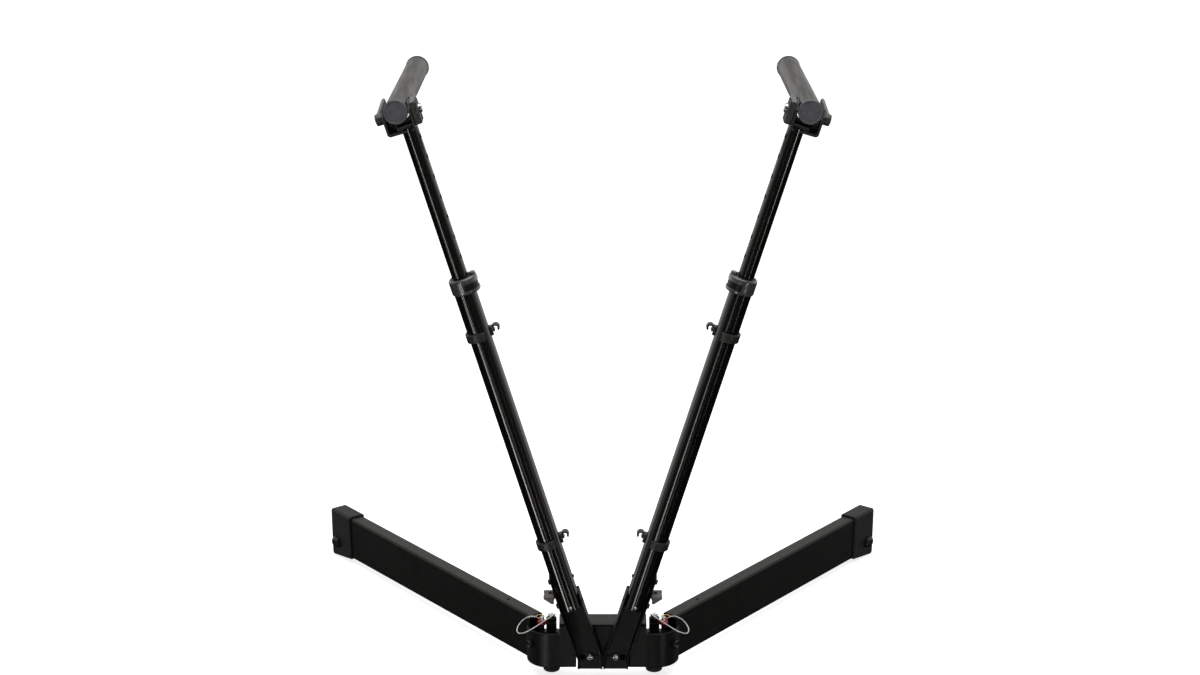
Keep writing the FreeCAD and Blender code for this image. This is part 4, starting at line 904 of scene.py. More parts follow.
@dataclass
class PullPin(SubAssembly):
    """Red collar, drilled head, split ring and wire lanyard of the pin that locks the leg."""

    x: float = 15.0
    y: float = -6.2
    collar_bottom: float = 83.2
    collar: float = 7.4
    ring_x: float = 18.6
    ring_y: float = -0.35
    ring_height: float = 94.0
    ring_radius: float = 6.9
    wire_radius: float = 0.9
    cord_radius: float = 1.1
    ring_half: float = 0.46
    collar_flutes: tuple[int, float] = (30, 0.4)
    terminal_height: tuple[float, float] = (95.75, 97.1)
    # Route of the lanyard from the leg pivot on the floor, in metres: out of the terminal on the
    # pivot stack, over the cup's rim, round in a bight beside the leg and up to the split ring.
    route: tuple[tuple[float, float, float], ...] = (
        (-0.0025, -0.0060, 0.0979), (0.0020, -0.0135, 0.0980), (0.0110, -0.0225, 0.0958),
        (0.0230, -0.0315, 0.0910), (0.0360, -0.0360, 0.0845), (0.0475, -0.0335, 0.0785),
        (0.0545, -0.0245, 0.0760), (0.0555, -0.0130, 0.0790), (0.0495, -0.0055, 0.0865),
        (0.0405, -0.0045, 0.0935), (0.0318, -0.0058, 0.0972), (0.0260, -0.0076, 0.0966))

    def build_lanyard(self) -> None:
        """Lanyard with its terminal and crimp; made before the other pieces."""
        route = np.array(self.route) + (PIVOT_X * MM, PIVOT_Y * MM, 0)
        line = self.line_of(route)
        terminal = self.terminal(line[0], line[1])
        crimp = self.crimp(line[-1], line[-2])
        strand = self.add("lanyard_wire", [wire(line / MM, self.cord_radius, 12)], "", "steel",
                          "lanyard", "wire")
        f"lock_pin_{self.side.word}"
        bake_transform(strand)

    def line_of(self, route: np.ndarray) -> np.ndarray:
        """Points of the smooth spline that the route's points control.

        Args:
            route: Control points, in metres.

        Returns:
            Points read from the spline, in metres.
        """
        curve = bpy.data.curves.new("lanyard_route", "CURVE")
        curve.dimensions = "3D"
        curve.resolution_u = 10
        spline = curve.splines.new("NURBS")
        spline.points.add(len(route) - 1)
        spline.points.foreach_set("co", np.column_stack([route, np.ones(len(route))]).ravel())
        spline.order_u = 3
        spline.use_endpoint_u = True
        holder = bpy.data.objects.new("lanyard_route", curve)
        mesh = bpy.data.meshes.new_from_object(holder)
        points = np.zeros(len(mesh.vertices) * 3)
        mesh.vertices.foreach_get("co", points)
        bpy.data.objects.remove(holder)
        bpy.data.meshes.remove(mesh)
        bpy.data.curves.remove(curve)
        return points.reshape(-1, 3)

    def sleeve(self, start: np.ndarray, toward: np.ndarray, length: float) -> Shell:
        """Crimped sleeve, its end rounded and its middle pinched.

        With s the share along it and R its radius, r = R - 0.45 exp(-((s - 0.5) / 0.12)^2), times
        0.6 + 0.4 sin 6s up to the top of that sine.

        Args:
            start: The wire's end, in metres.
            toward: The wire's next point, in metres; the sleeve runs the other way.
            length: Length of the sleeve.

        Returns:
            The sleeve.
        """
        sides = 20
        share = np.linspace(0, 1, 15)
        direction = (start - toward) / np.linalg.norm(start - toward)
        path = start / MM + direction * (share * length)[:, None]
        radius = (self.cord_radius + 0.7) - 0.45 * np.exp(-((share - 0.5) / 0.12) ** 2)
        radius *= np.clip(np.sin(np.clip(share * 6, 0.0, math.pi / 2)) * 0.4 + 0.6, 0, 1)
        sleeve = wire(path, 1.0, sides)
        centre = np.repeat(path, sides, axis=0)
        sleeve.points = centre + (sleeve.points - centre) * np.repeat(radius, sides)[:, None]
        sleeve.corner_uv = None
        return sleeve

    def terminal(self, start: np.ndarray, after: np.ndarray) -> bpy.types.Object:
        """Ring terminal under the stack's dome, with its sleeve."""
        profile = section(1.4, *self.terminal_height, 0.5)
        washer = wall(arc(4.6, 0, 360 - 7.5, 48), profile, closed=True)
        shells = [PIVOT.of(washer), self.sleeve(start, after, 5.5)]
        return self.add("lanyard_terminal", shells, "base", "steel", "lanyard_fittings")

    def crimp(self, end: np.ndarray, before: np.ndarray) -> bpy.types.Object:
        """Sleeve that ends the lanyard beside the split ring; it follows the pin."""
        return self.add("lanyard_crimp", [self.sleeve(end, before, 2.4)], "lock_pin", "steel")

    def build(self) -> None:
        """Makes the collar, the head and the split ring."""
        pin = PIVOT.moved(self.x, self.y, 0)
        low, wide = self.collar_bottom, self.collar
        collar = [(0, low), (wide - 0.9, low), (wide, low + 0.8, 1), (wide, low + 2.4, 1),
                  (wide - 0.7, low + 2.7), (wide - 0.7, low + 3.3), (wide, low + 3.6, 1),
                  (wide, low + 5.8, 1), (wide - 0.9, low + 6.6), (4.2, low + 6.7), (0, low + 6.7)]
        knob = turned(collar, 120, fluted(*self.collar_flutes))
        self.add("pin_collar", [pin.of(knob)], "lock_pin", "red_plastic", "pin_knob")
        base = low + 6.6
        head = [(0, base), (3.5, base), (3.5, base + 0.8), (3.0, base + 1.2), (3.0, base + 2.1),
                (3.5, base + 2.5), (3.5, base + 5.7), (3.2, base + 6.2), (2.6, base + 6.5),
                (0, base + 6.5)]
        self.add("pin_head", [pin.of(turned(head, 48))], "lock_pin", "steel")
        steps = 129
        angle = np.linspace(0, 2 * math.tau, steps)
        coil = np.column_stack([self.ring_x + self.ring_radius * np.cos(angle),
                                self.ring_y + self.ring_radius * np.sin(angle),
                                self.ring_height + self.ring_half * np.linspace(-1, 1, steps)])
        ring = wire(coil, self.wire_radius, 12, 0.47)
        ring.corner_uv = None
        self.add("key_ring", [PIVOT.of(ring)], "lock_pin", "brass", "split_ring")


@dataclass
class LegEnd(SubAssembly):
    """Plastic shoe over the outer end of the leg."""

    offset: float = 16.7
    half: float = 16.0
    top: float = 40.5
    inner: float = 559.0
    slope_end: float = 616.0
    outer: float = 621.0
    bottom: tuple[float, float, float] = (-39.5, -46.7, -41.5)
    corner: float = 4.2
    end_round: float = 5.0

    def build(self) -> None:
        """Makes the shoe: rounded rectangles along the leg, deeper below towards its end."""
        inner, outer, curve = self.inner, self.outer, self.end_round
        lip = [(inner, 3.4), (inner, 1.0), (inner + 0.3, 0.3), (inner + 1.0, 0.0)]
        body = [(station, 0.0) for station in np.linspace(inner + 4, outer - curve, 9)]
        angle = np.radians(np.linspace(12, 90, 8))
        end = [(outer - curve * (1 - math.sin(a)), curve * (1 - math.cos(a))) for a in angle]
        rings = np.array([self.ring(station, amount) for station, amount in lip + body + end])
        self.add("leg_shoe", [LEG.of(lofted(rings))], "leg", "cap_plastic", "leg_cap")

    def ring(self, station: float, amount: float) -> np.ndarray:
        """Rounded rectangle across the leg at a station, moved inwards by an amount."""
        low = float(np.interp(station, (self.inner, self.slope_end, self.outer), self.bottom))
        side, high, low = self.half - amount, self.top - amount, low + amount
        radius = max(self.corner - amount * 0.5, 1.0)
        outline = rounded_outline([(-side, low, radius), (side, low, radius), (side, high, radius),
                                   (-side, high, radius)], 7)
        along = np.full(len(outline), station)
        return np.column_stack([outline[:, 0] + self.offset, along, outline[:, 1]])


@dataclass
class ColumnFoot(SubAssembly):
    """Folded bracket of the column, its bolts, end screw and release paddle."""

    half: float = 18.6
    low_half: float = 19.4
    back: float = 19.7
    sheet: float = 2.0
    bend: float = 3.4
    inner_top: float = 124.0
    outer_top: float = 160.0
    shoulder: float = 9.0
    bolt_y: float = 2.0
    bolt_flat: float = 4.1
    bolts: tuple[tuple[float, float], ...] = ((107.0, -21.1), (150.5, -19.0))
    hinge: tuple[float, float, float] = (22.5, 0.0, 126.0)
    screw_height: float = 105.5

    def build(self) -> None:
        """Makes the bracket, the bolts, the screw in the tube's end and the paddle."""
        self.bracket()
        self.bolt_row()
        self.end_screw()
        self.paddle()

    def free_edge(self, height: np.ndarray) -> np.ndarray:
        """Free edge of the cheeks: forwards as they rise, and back in a shoulder at the top."""
        edge = np.interp(height, (-2, 100, self.inner_top), (8, -10, -8))
        above = np.clip(height - (self.inner_top - self.shoulder), 0, self.shoulder)
        return edge + self.shoulder - np.sqrt(self.shoulder ** 2 - above ** 2)

    def bracket(self) -> None:
        """Upper channel along the column, upright channel on the beam, tall outer cheek and lug."""
        rise = self.shoulder * np.sin(np.radians(np.linspace(0, 89, 8)))
        straight_top = self.inner_top - self.shoulder
        heights = np.concatenate([np.linspace(-2, straight_top, 8)[:-1], straight_top + rise])
        upper = channel((self.half, self.half), self.back, self.free_edge(heights), heights,
                        self.bend, self.sheet)
        low_heights = np.array([-21.5, -20, -10, 0, 3.0])
        low_edge = np.interp(low_heights, (-21.5, -4), (17.0, 9.0))
        lower = channel((self.half, self.low_half), self.back, low_edge, low_heights,
                        self.bend, self.sheet)
        lap, rear = self.inner_top - 12, self.back + 1
        outline = rounded_outline([(-8.6, lap, 1), (rear, lap, 1), (rear, self.outer_top, 7),
                                   (-8, self.outer_top, 10)], 8)
        cheek = sideways(slab(outline, self.half - 1.05, self.half + 1.05, 0.5))
        lug = block((self.half + 0.9, 26.5), (0, 8), (121, 131), 1.2, 2.0)
        level = COLUMN.turned(Axis.Y, -COLUMN_LEAN)
        shells = [COLUMN.of(upper), level.of(lower), COLUMN.of(cheek), COLUMN.of(lug)]
        self.add("folded_bracket", shells, "column", "painted", "column_bracket")

    def bolt_row(self) -> None:
        """Two bolts across the bracket, with flanged hexagon heads at the outside."""
        shells = []
        cheek = self.half + 1
        for height, inner_end in self.bolts:
            profile = [(0, inner_end), (2.9, inner_end), (2.9, cheek), (5.0, cheek),
                       (5.2, cheek + 0.4), (4.9, cheek + 0.9), (0, cheek + 1.0, 1),
                       (0, cheek + 3.0, 1), (3.2, cheek + 3.6), (0, cheek + 3.6)]
            place = facing(COLUMN.moved(0, self.bolt_y, height), ALONG_X)
            shells.append(place.of(turned(profile, 48, hexagonal(self.bolt_flat))))
        self.add("cheek_bolts", shells, "column", "black_steel", "bracket_bolts")

    def end_screw(self) -> None:
        """Small dome screw in the front of the lower tube, just above its lower end."""
        profile = [(0, 17.2), (3.0, 17.2), (3.0, 18.0), (2.4, 18.9), (1.4, 19.3), (1.2, 18.7),
                   (0, 18.7)]
        place = facing(COLUMN.moved(0, 0, self.screw_height), AGAINST_Y)
        self.add("tube_end_screw", [place.of(turned(profile, 32))], "column", "steel")

    def paddle(self) -> None:
        """Release paddle: flat on top, tapered below, forked round the lug."""
        prong = rounded_outline([(-1.2, -8, 1.2), (2.5, -8, 2.5), (15.5, 1.0, 1.6),
                                 (15.5, 4.5, 1.4), (-1.2, 4.5, 0.8)], 6)
        bridge = rounded_outline([(6.9, -4.2, 1.0), (14.6, 1.1, 1.2), (14.9, 4.1, 1.0),
                                  (6.9, 4.2, 0.6)], 6)
        plates = ((prong, -16.0, -8.5), (prong, 0.4, 14.0), (bridge, -9.2, 1.2))
        shells = [crosswise(slab(shape, low, high, 1.3, 5)) for shape, low, high in plates]
        pin = turned([(0, 0), (1.6, 0), (2, 0.4), (2, 25.6), (1.6, 26), (0, 26)], 32)
        shells.append(facing(STAND.moved(0, -12, 0), ALONG_Y).of(pin))
        place = COLUMN.moved(*self.hinge).turned(Axis.Y, -COLUMN_LEAN)
        # Paddle colour: its moulded plastic lightened as painted light.
        self.add("release_paddle", [place.of(shell) for shell in shells], "release_lever",
                 "moulded", "release_lever", "paddle")


@dataclass
class Tubes(SubAssembly):
    """Drawn tubes of the column and of the arm."""

    lower: tuple[float, float, float, float] = (17.5, 15.5, 100.0, 672.0)
    upper: tuple[float, float, float, float] = (12.6, 10.6, 470.0, 921.0)
    arm: tuple[float, float, float, float] = (18.2, 15.7, ARM_FRONT, ARM_BACK)
    sides: int = 96
    edge: float = 0.5
    hole: float = 3.7
    hole_top: float = 903.0
    hole_pitch: float = 32.8
    hole_count: int = 7
    hole_turn: float = 190.0

    def build(self) -> None:
        """Makes the three tubes."""
        finish = f"column_{self.side.word}"
        self.add("lower_column_tube", [COLUMN.of(self.pipe(*self.lower, 12))], "column",
                 "anodised", "lower_tube", finish)
        upper = self.add("upper_column_tube", [COLUMN.of(self.pipe(*self.upper, 60))], "upper",
                         "anodised", "upper_tube", finish)
        self.drill(upper)
        arm = facing(ARM.moved(0, 0, ARM_RISE), ALONG_Y)
        self.add("support_arm_tube", [arm.of(self.pipe(*self.arm, 8))], "arm", "anodised",
                 "arm_tube", "arm")

    def pipe(self, outer: float, inner: float, start: float, end: float, bays: int) -> Shell:
        """Tube about Z with broken edges: a closed profile turned round its axis.

        Args:
            outer: Outer radius.
            inner: Inner radius.
            start: Lower end.
            end: Upper end.
            bays: Rows of faces along its outer side.

        Returns:
            The tube.
        """
        edge = self.edge
        nick = 0.3 * edge
        side = [(outer, height) for height in np.linspace(start + edge, end - edge, bays + 1)]
        profile = [(inner, start), (outer - edge, start), (outer - nick, start + nick), *side,
                   (outer - nick, end - nick), (outer - edge, end), (inner, end)]
        angle = np.linspace(0, math.tau, self.sides, endpoint=False)
        radius, height = (np.array(column)[:, None] for column in zip(*profile))
        return lofted(np.stack([radius * np.cos(angle), radius * np.sin(angle),
                                height + 0 * angle], axis=-1), closed=True)

    def drill(self, tube: bpy.types.Object) -> None:
        """Cuts the row of height holes, which face the inner side and slightly the front."""
        profile = [(0, 2), (self.hole, 2), (self.hole, 20), (0, 20)]
        drills = []
        for step in range(self.hole_count):
            place = COLUMN.moved(0, 0, self.hole_top - step * self.hole_pitch)
            place = facing(place.turned(Axis.Z, self.hole_turn), ALONG_X)
            drills.append(place.of(turned(profile, 40)))
        drill = mesh_piece("drills", drills, self.side)
        drill.modifiers.clear()
        holes = tube.modifiers.new("Height holes", "BOOLEAN")
        holes.operation, holes.solver, holes.object = "DIFFERENCE", "EXACT", drill
        cut = tube.evaluated_get(bpy.context.evaluated_depsgraph_get())
        drilled = bpy.data.meshes.new_from_object(cut)
        tube.modifiers.clear()
        drilled.name = tube.data.name
        tube.data = drilled
        bpy.data.objects.remove(drill)
        evenly_shaded(tube, 40)


@dataclass
class ColumnMiddle(SubAssembly):
    """Collar with its catch, and the two cable clips of the lower tube."""

    round_radius: float = 19.8
    lobe_radius: float = 21.5
    lobe_shift: float = 4.0
    blend: float = 1.6
    clearance: float = 0.06
    rim: float = 3.2
    bottom: float = 648.5
    top: float = 674.0
    recess: tuple[float, float] = (654.5, 665.0)
    recess_depth: float = 2.6
    recess_turn: tuple[float, float] = (151.0, 264.0)
    catch_turn: tuple[float, float] = (155.0, 259.0)
    catch_depth: float = 2.0
    catch_play: float = 0.35
    clips: tuple[float, ...] = (217.4, 577.5)
    clip_radius: float = 21.4
    clip_half: float = 7.0
    hook_radius: float = 4.8
    hook_x: float = -25.2

    def build(self) -> None:
        """Makes the collar, its catch and the clips."""
        self.collar()
        self.catch()
        self.cable_clips()

    def outer(self, angle: np.ndarray) -> np.ndarray:
        """Outer radius at an angle: the smooth larger one of the round and of the shifted lobe.

        With b the blend it is log(exp(b lobe) + exp(b round)) / b, less the clearance.
        """
        lobe = -self.lobe_shift * np.cos(angle) + np.sqrt(
            self.lobe_radius ** 2 - (self.lobe_shift * np.sin(angle)) ** 2)
        both = np.exp(self.blend * lobe) + np.exp(self.blend * self.round_radius)
        return np.log(both) / self.blend - self.clearance

    def collar(self) -> None:
        """Ring with rounded rims, a recess for the catch, and a hinge boss on top of its lobe."""
        angle = np.radians(np.arange(0, 360, 1.5))
        outer = self.outer(angle)
        bottom, top, rim = self.bottom, self.top, self.rim
        low_arc = [(rim * (1 - math.sin(a)), bottom + rim * (1 - math.cos(a)))
                   for a in np.radians(np.linspace(0, 90, 6))]
        high_arc = [(amount, bottom + top - height) for amount, height in low_arc[::-1]]
        first, last = self.recess
        walls = [(0.0, first - 0.3), (0.0, first), (self.recess_depth, first + 0.2),
                 (self.recess_depth, last - 0.2), (0.0, last), (0.0, last + 0.3)]
        turn = np.degrees(angle)
        recessed = (turn > self.recess_turn[0]) & (turn < self.recess_turn[1])
        levels = []
        for amount, height in low_arc + walls + high_arc:
            cut = np.where(recessed, amount, 0.0) if first < height < last else amount
            levels.append((outer - cut, height))
        bore = np.full(len(angle), TUBE_BORE)
        levels += [(bore, height) for height in (top, top - 0.8, bottom + 0.8, bottom)]
        rings = [np.column_stack([radius * np.cos(angle), radius * np.sin(angle),
                                  np.full(len(angle), height)]) for radius, height in levels]
        ring = lofted(np.array(rings), closed=True)
        boss = turned([(0, top - 0.4), (5.5, top - 0.4), (5.5, top + 2.6), (5.0, top + 3.7),
                       (3.9, top + 4.2), (2.4, top + 4.2), (2.0, top + 3.7), (0, top + 3.7)], 48)
        boss = STAND.moved(-19.0, 0, 0).of(boss)
        self.add("height_collar", [COLUMN.of(ring), COLUMN.of(boss)], "column", "moulded", "collar")

    def catch(self) -> None:
        """Curved lever that fills the recess, with a finger ridge near its tip."""
        angle = np.radians(np.linspace(*self.catch_turn, 72))
        low, high = self.recess[0] + self.catch_play, self.recess[1] - self.catch_play
        outline = rounded_outline([(-0.5, low, 0.3), (0.5, low, 0.45), (0.5, high, 0.45),
                                   (-0.5, high, 0.3)], 5)
        share = np.linspace(0, 1, len(angle))
        ridge = 0.35 * np.exp(-((share - 0.1) / 0.05) ** 2)
        middle = self.outer(angle) - self.catch_depth
        offsets = outline[None, :, 0] + ridge[:, None] * (outline[None, :, 0] > 0)
        radius = middle[:, None] + offsets
        rings = np.stack([radius * np.cos(angle)[:, None], radius * np.sin(angle)[:, None],
                          np.broadcast_to(outline[None, :, 1], radius.shape)], axis=-1)
        foot, tip = self.bottom + 4, self.top - 4
        pin = turned([(0, foot), (1.2, foot), (1.2, tip), (0, tip)], 24)
        shells = [COLUMN.of(lofted(rings)), COLUMN.moved(-4.5, -19.6, 0).of(pin)]
        # The catch takes the dark powder coat instead of its own black plastic: painted shade of
        # the recess it sits in.
        self.add("collar_catch", shells, "collar_lever", "black_plastic", "collar_lever", "painted")

    def cable_clips(self) -> None:
        """Open rings round the tube, each with a web and an open hook at the inside."""
        middle = (TUBE_BORE + self.clip_radius) / 2
        shells = []
        for height in self.clips:
            low, high = height - self.clip_half, height + self.clip_half
            profile = section((self.clip_radius - TUBE_BORE) / 2, low, high, 1.2, 5)
            shells.append(wall(arc(middle, -119, 185, 96), profile))
            shells.append(block((-21.5, -14.5), (11.2, 18.8), (height - 5, height + 5), 1.2, 1.2))
            hook = wall(arc(self.hook_radius, -62, 232, 48), section(1.6, -21.0, -9.0, 0.9))
            place = facing(STAND.moved(self.hook_x, 0, height), AGAINST_Y)
            shells.append(place.of(hook))
        self.add("snap_clips", [COLUMN.of(shell) for shell in shells], "column", "black_plastic",
                 "cable_clips")


@dataclass
class Head(SubAssembly):
    """Yoke on the upper tube, its clamp block and handle, and what is on the arm."""

    half: float = 20.9
    sheet: float = 3.0
    web: float = 25.5
    depth: float = 18.0
    bend: float = 4.0
    block_inner: float = -31.4
    block_outer: float = -22.4
    handle: float = 115.0
    handle_middle: float = 30.15
    handle_half: float = 3.75
    hub_start: float = 22.7
    cradle_radius: float = 19.7
    cradle_top: float = -4.8

    def build(self) -> None:
        """Makes the pieces of the head and of the arm."""
        self.yoke()
        self.clamp()
        self.clamp_lever()
        self.end_caps()
        self.stay()

    def yoke(self) -> None:
        """Folded U under the arm, its cheeks cut back at their upper corners."""
        stations = np.concatenate([[-self.depth], np.linspace(-17.5, 17.5, 18), [self.depth]])
        tops = np.interp(stations, (-18, -9, 10, 18), (5, 16, 16, 8))
        saddle = channel((self.half, self.half), self.web, -tops, stations, self.bend, self.sheet)
        inside = self.half - self.sheet / 2 + 0.2
        bed = -self.web + 0.6
        shells = [
            upturned(saddle),
            block((-inside, 7), (-14, 10), (bed, -16.5), 1.0, 1.2),
            block((-inside, inside), (14, 16), (bed, -18), 0.6, 0.6),
            self.cradle(inside, bed),
        ]
        # Yoke colour: the black powder coat lightened as painted light.
        self.add("arm_yoke", [HEAD.of(shell) for shell in shells], "upper", "painted", "top_yoke",
                 "head_paint_with_painted_light")

    def cradle(self, inside: float, bed: float) -> Shell:
        """Rib across the yoke whose upper edge runs round under the arm tube.

        Args:
            inside: Half its length.
            bed: Its lower edge.

        Returns:
            The rib.
        """
        reach, top = self.cradle_radius, self.cradle_top
        first = math.degrees(math.asin((top - ARM_RISE) / reach))
        curve = arc(reach, first, -180 - first, 40, (0, ARM_RISE))
        base = [(-inside, bed), (inside, bed), (inside, top)]
        outline = np.concatenate([base, curve, [(-inside, top)]])
        return crosswise(slab(outline, -3.0, 3.0, 0.4))

    def clamp(self) -> None:
        """Block on the inner cheek, with three upright ribs."""
        shells = [block((self.block_inner, self.block_outer), (-15, 20), (-21, 15), 1.6, 1.6)]
        rib = (self.block_inner - 2.4, self.block_inner + 1)
        for y in (-15.0, -3.0, 9.0):
            shells.append(block(rib, (y, y + 4), (-20.4, 14.4), 1.1, 1.4))
        # Clamp block colour: the black plastic lightened as painted light.
        self.add("clamp_pad", [HEAD.of(shell) for shell in shells], "upper", "black_plastic",
                 "clamp_block", "head_plastic_with_painted_light")

    def clamp_lever(self) -> None:
        """Tapered handle with a round hub, lying back along the arm.

        Sections across its length are superellipses |x / a|^n + |z / b|^n = 1 with n = 2.6.
        """
        stations, around, power = 40, 40, 2 / 2.6
        share = np.sin(np.linspace(0, math.pi / 2, stations))
        station = self.handle * share
        low = np.interp(station, (0, 25, 109, 115), (-8.5, -6, -4, 1.5))
        high = np.interp(station, (0, 30, 112, 115), (8.5, 7, 6, 3.5))
        across = self.handle_half * np.interp(station, (0, 105, 112, 115), (1, 1, 0.8, 0.35))
        angle = np.linspace(0, math.tau, around, endpoint=False)
        x = np.sign(np.cos(angle)) * np.abs(np.cos(angle)) ** power
        z = np.sign(np.sin(angle)) * np.abs(np.sin(angle)) ** power
        rings = np.stack([self.handle_middle + across[:, None] * x,
                          np.broadcast_to(station[:, None], (stations, around)),
                          (low + high)[:, None] / 2 + (high - low)[:, None] / 2 * z], axis=-1)
        start = self.hub_start
        hub = [(0, start), (8.4, start), (9, start + 0.6), (9, start + 10.2), (8, start + 11.4),
               (5.2, start + 12), (4.8, start + 11.2), (3.0, start + 11.2), (2.6, start + 11.8),
               (0, start + 12)]
        shells = [HEAD.of(lofted(rings)), facing(HEAD, ALONG_X).of(turned(hub, 64))]
        # Lever colour: the black plastic lightened as painted light.
        self.add("clamp_lever", shells, "clamp_handle", "black_plastic", "clamp_handle",
                 "head_plastic_with_painted_light")

    def end_caps(self) -> None:
        """Moulded disc caps of the arm: flat middle, shallow groove, rolled rim, round plug."""
        rim = 3
        profile = [(0, 0.75), (6, 0.7), (13.9, 0.45), (14.3, 0.85), (14.9, 0.85), (15.3, 0.3),
                   (17.0, 0.0), (18.1, 0.25), (18.8, 0.8), (19.08, 1.6), (19.08, 2.5), (18.8, 3.0),
                   (15.65, 3.0), (15.65, 7.6), (15.2, 8.0), (0, 8.0)]
        front = facing(ARM.moved(0, ARM_FRONT - rim, ARM_RISE), ALONG_Y)
        back = facing(ARM.moved(0, ARM_BACK + rim, ARM_RISE), AGAINST_Y)
        self.add("arm_end_caps", [place.of(turned(profile, 96)) for place in (front, back)], "arm",
                 "cap_plastic", "arm_caps", "disc_plastic")

    def stay(self) -> None:
        """Three-cornered stay beside the arm, on a pad that fits the tube."""
        outline = rounded_outline([(24, -4, 1.5), (34, -14, 3), (92, 3, 1.5), (92, 9, 1.5),
                                   (34, 16, 3), (24, 14, 1.5)], 5)
        plate = sideways(slab(outline, -22.1, -20.1, 0.6))
        pad = block((-20.4, -15.5), (36, 86), (1, 11), 1.2, 1.2)
        # Stay colour: the black powder coat lightened as painted light.
        self.add("arm_stay", [ARM.of(plate), ARM.of(pad)], "arm", "painted", "arm_gusset",
                 "head_paint_with_painted_light")


@dataclass
class Hub:
    """Pieces of the hub that both sides share: the feet and the columns' pivot screws."""

    book: FinishBook
    foot: float = 13.5
    screw_height: float = 42.5
    screw_x: float = 20.2
    socket_flat: float = 2.3
    beam_front: float = -40.0
    beam_wall: float = 3.0

    def build(self) -> None:
        """Makes the feet, the screws and their washers."""
        sole = [(0, 0.6), (4, 0.6), (4.4, 0), (8, 0), (8.4, 0.6), (9.6, 0.6), (10, 0), (11.6, 0),
                (12.7, 0.7), (13.3, 1.6), (self.foot, 2.4), (self.foot, 6), (12.7, 6.5),
                (12.7, 7.4), (self.foot, 7.9), (self.foot, 12), (12.4, 12.9), (12.2, 14.6),
                (12.9, 15.1), (12.9, 18.0), (12.3, 18.6), (12.3, HUB_BOTTOM), (0, HUB_BOTTOM)]
        self.pair("rubber_foot_pads", [PIVOT.of(turned(sole, 72))], "rubber", "rubber_feet")
        wall_back = PIVOT_Y + self.beam_front + self.beam_wall
        place = facing(STAND.moved(self.screw_x, wall_back, self.screw_height), AGAINST_Y)
        head = [(0, -6.5), (8.0, -6.5), (8.0, 0), (3.9, 0), (3.9, 6.4), (5.4, 6.6), (5.6, 7.2),
                (5.2, 9.0), (4.2, 9.7), (3.2, 9.8), (2.4, 9.5), (0, 9.3, 0.9), (0, 7.6, 0.9),
                (0, 7.6)]
        screw = turned(head, 48, hexagonal(self.socket_flat))
        self.pair("pivot_screw_heads", [place.of(screw)], "steel", "column_screws")
        washer = wall(arc(5.6, 0, 352.5, 48), section(2.0, 5.65, 6.9, 0.4), closed=True)
        self.pair("pivot_screw_washers", [place.of(washer)], "black_steel", "")

    def pair(self, name: str, shells: list[Shell], slot: str, replaced: str) -> None:
        """One piece that holds a right solid and its mirror image.

        Args:
            name: Name of the piece.
            shells: Surfaces of the right side.
            slot: The record's slot that it takes its finish from.
            replaced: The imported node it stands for, if any.
        """
        piece = mesh_piece(name, shells + [mirrored(shell) for shell in shells], Side.RIGHT)
        piece.data.materials.append(self.book.made[slot])
        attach(piece, "base")
        if replaced:
            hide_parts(replaced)
        LOG.info("%s: %d faces", piece.name, len(piece.data.polygons))


# ------------------------------------------------------------------------------------------ studio


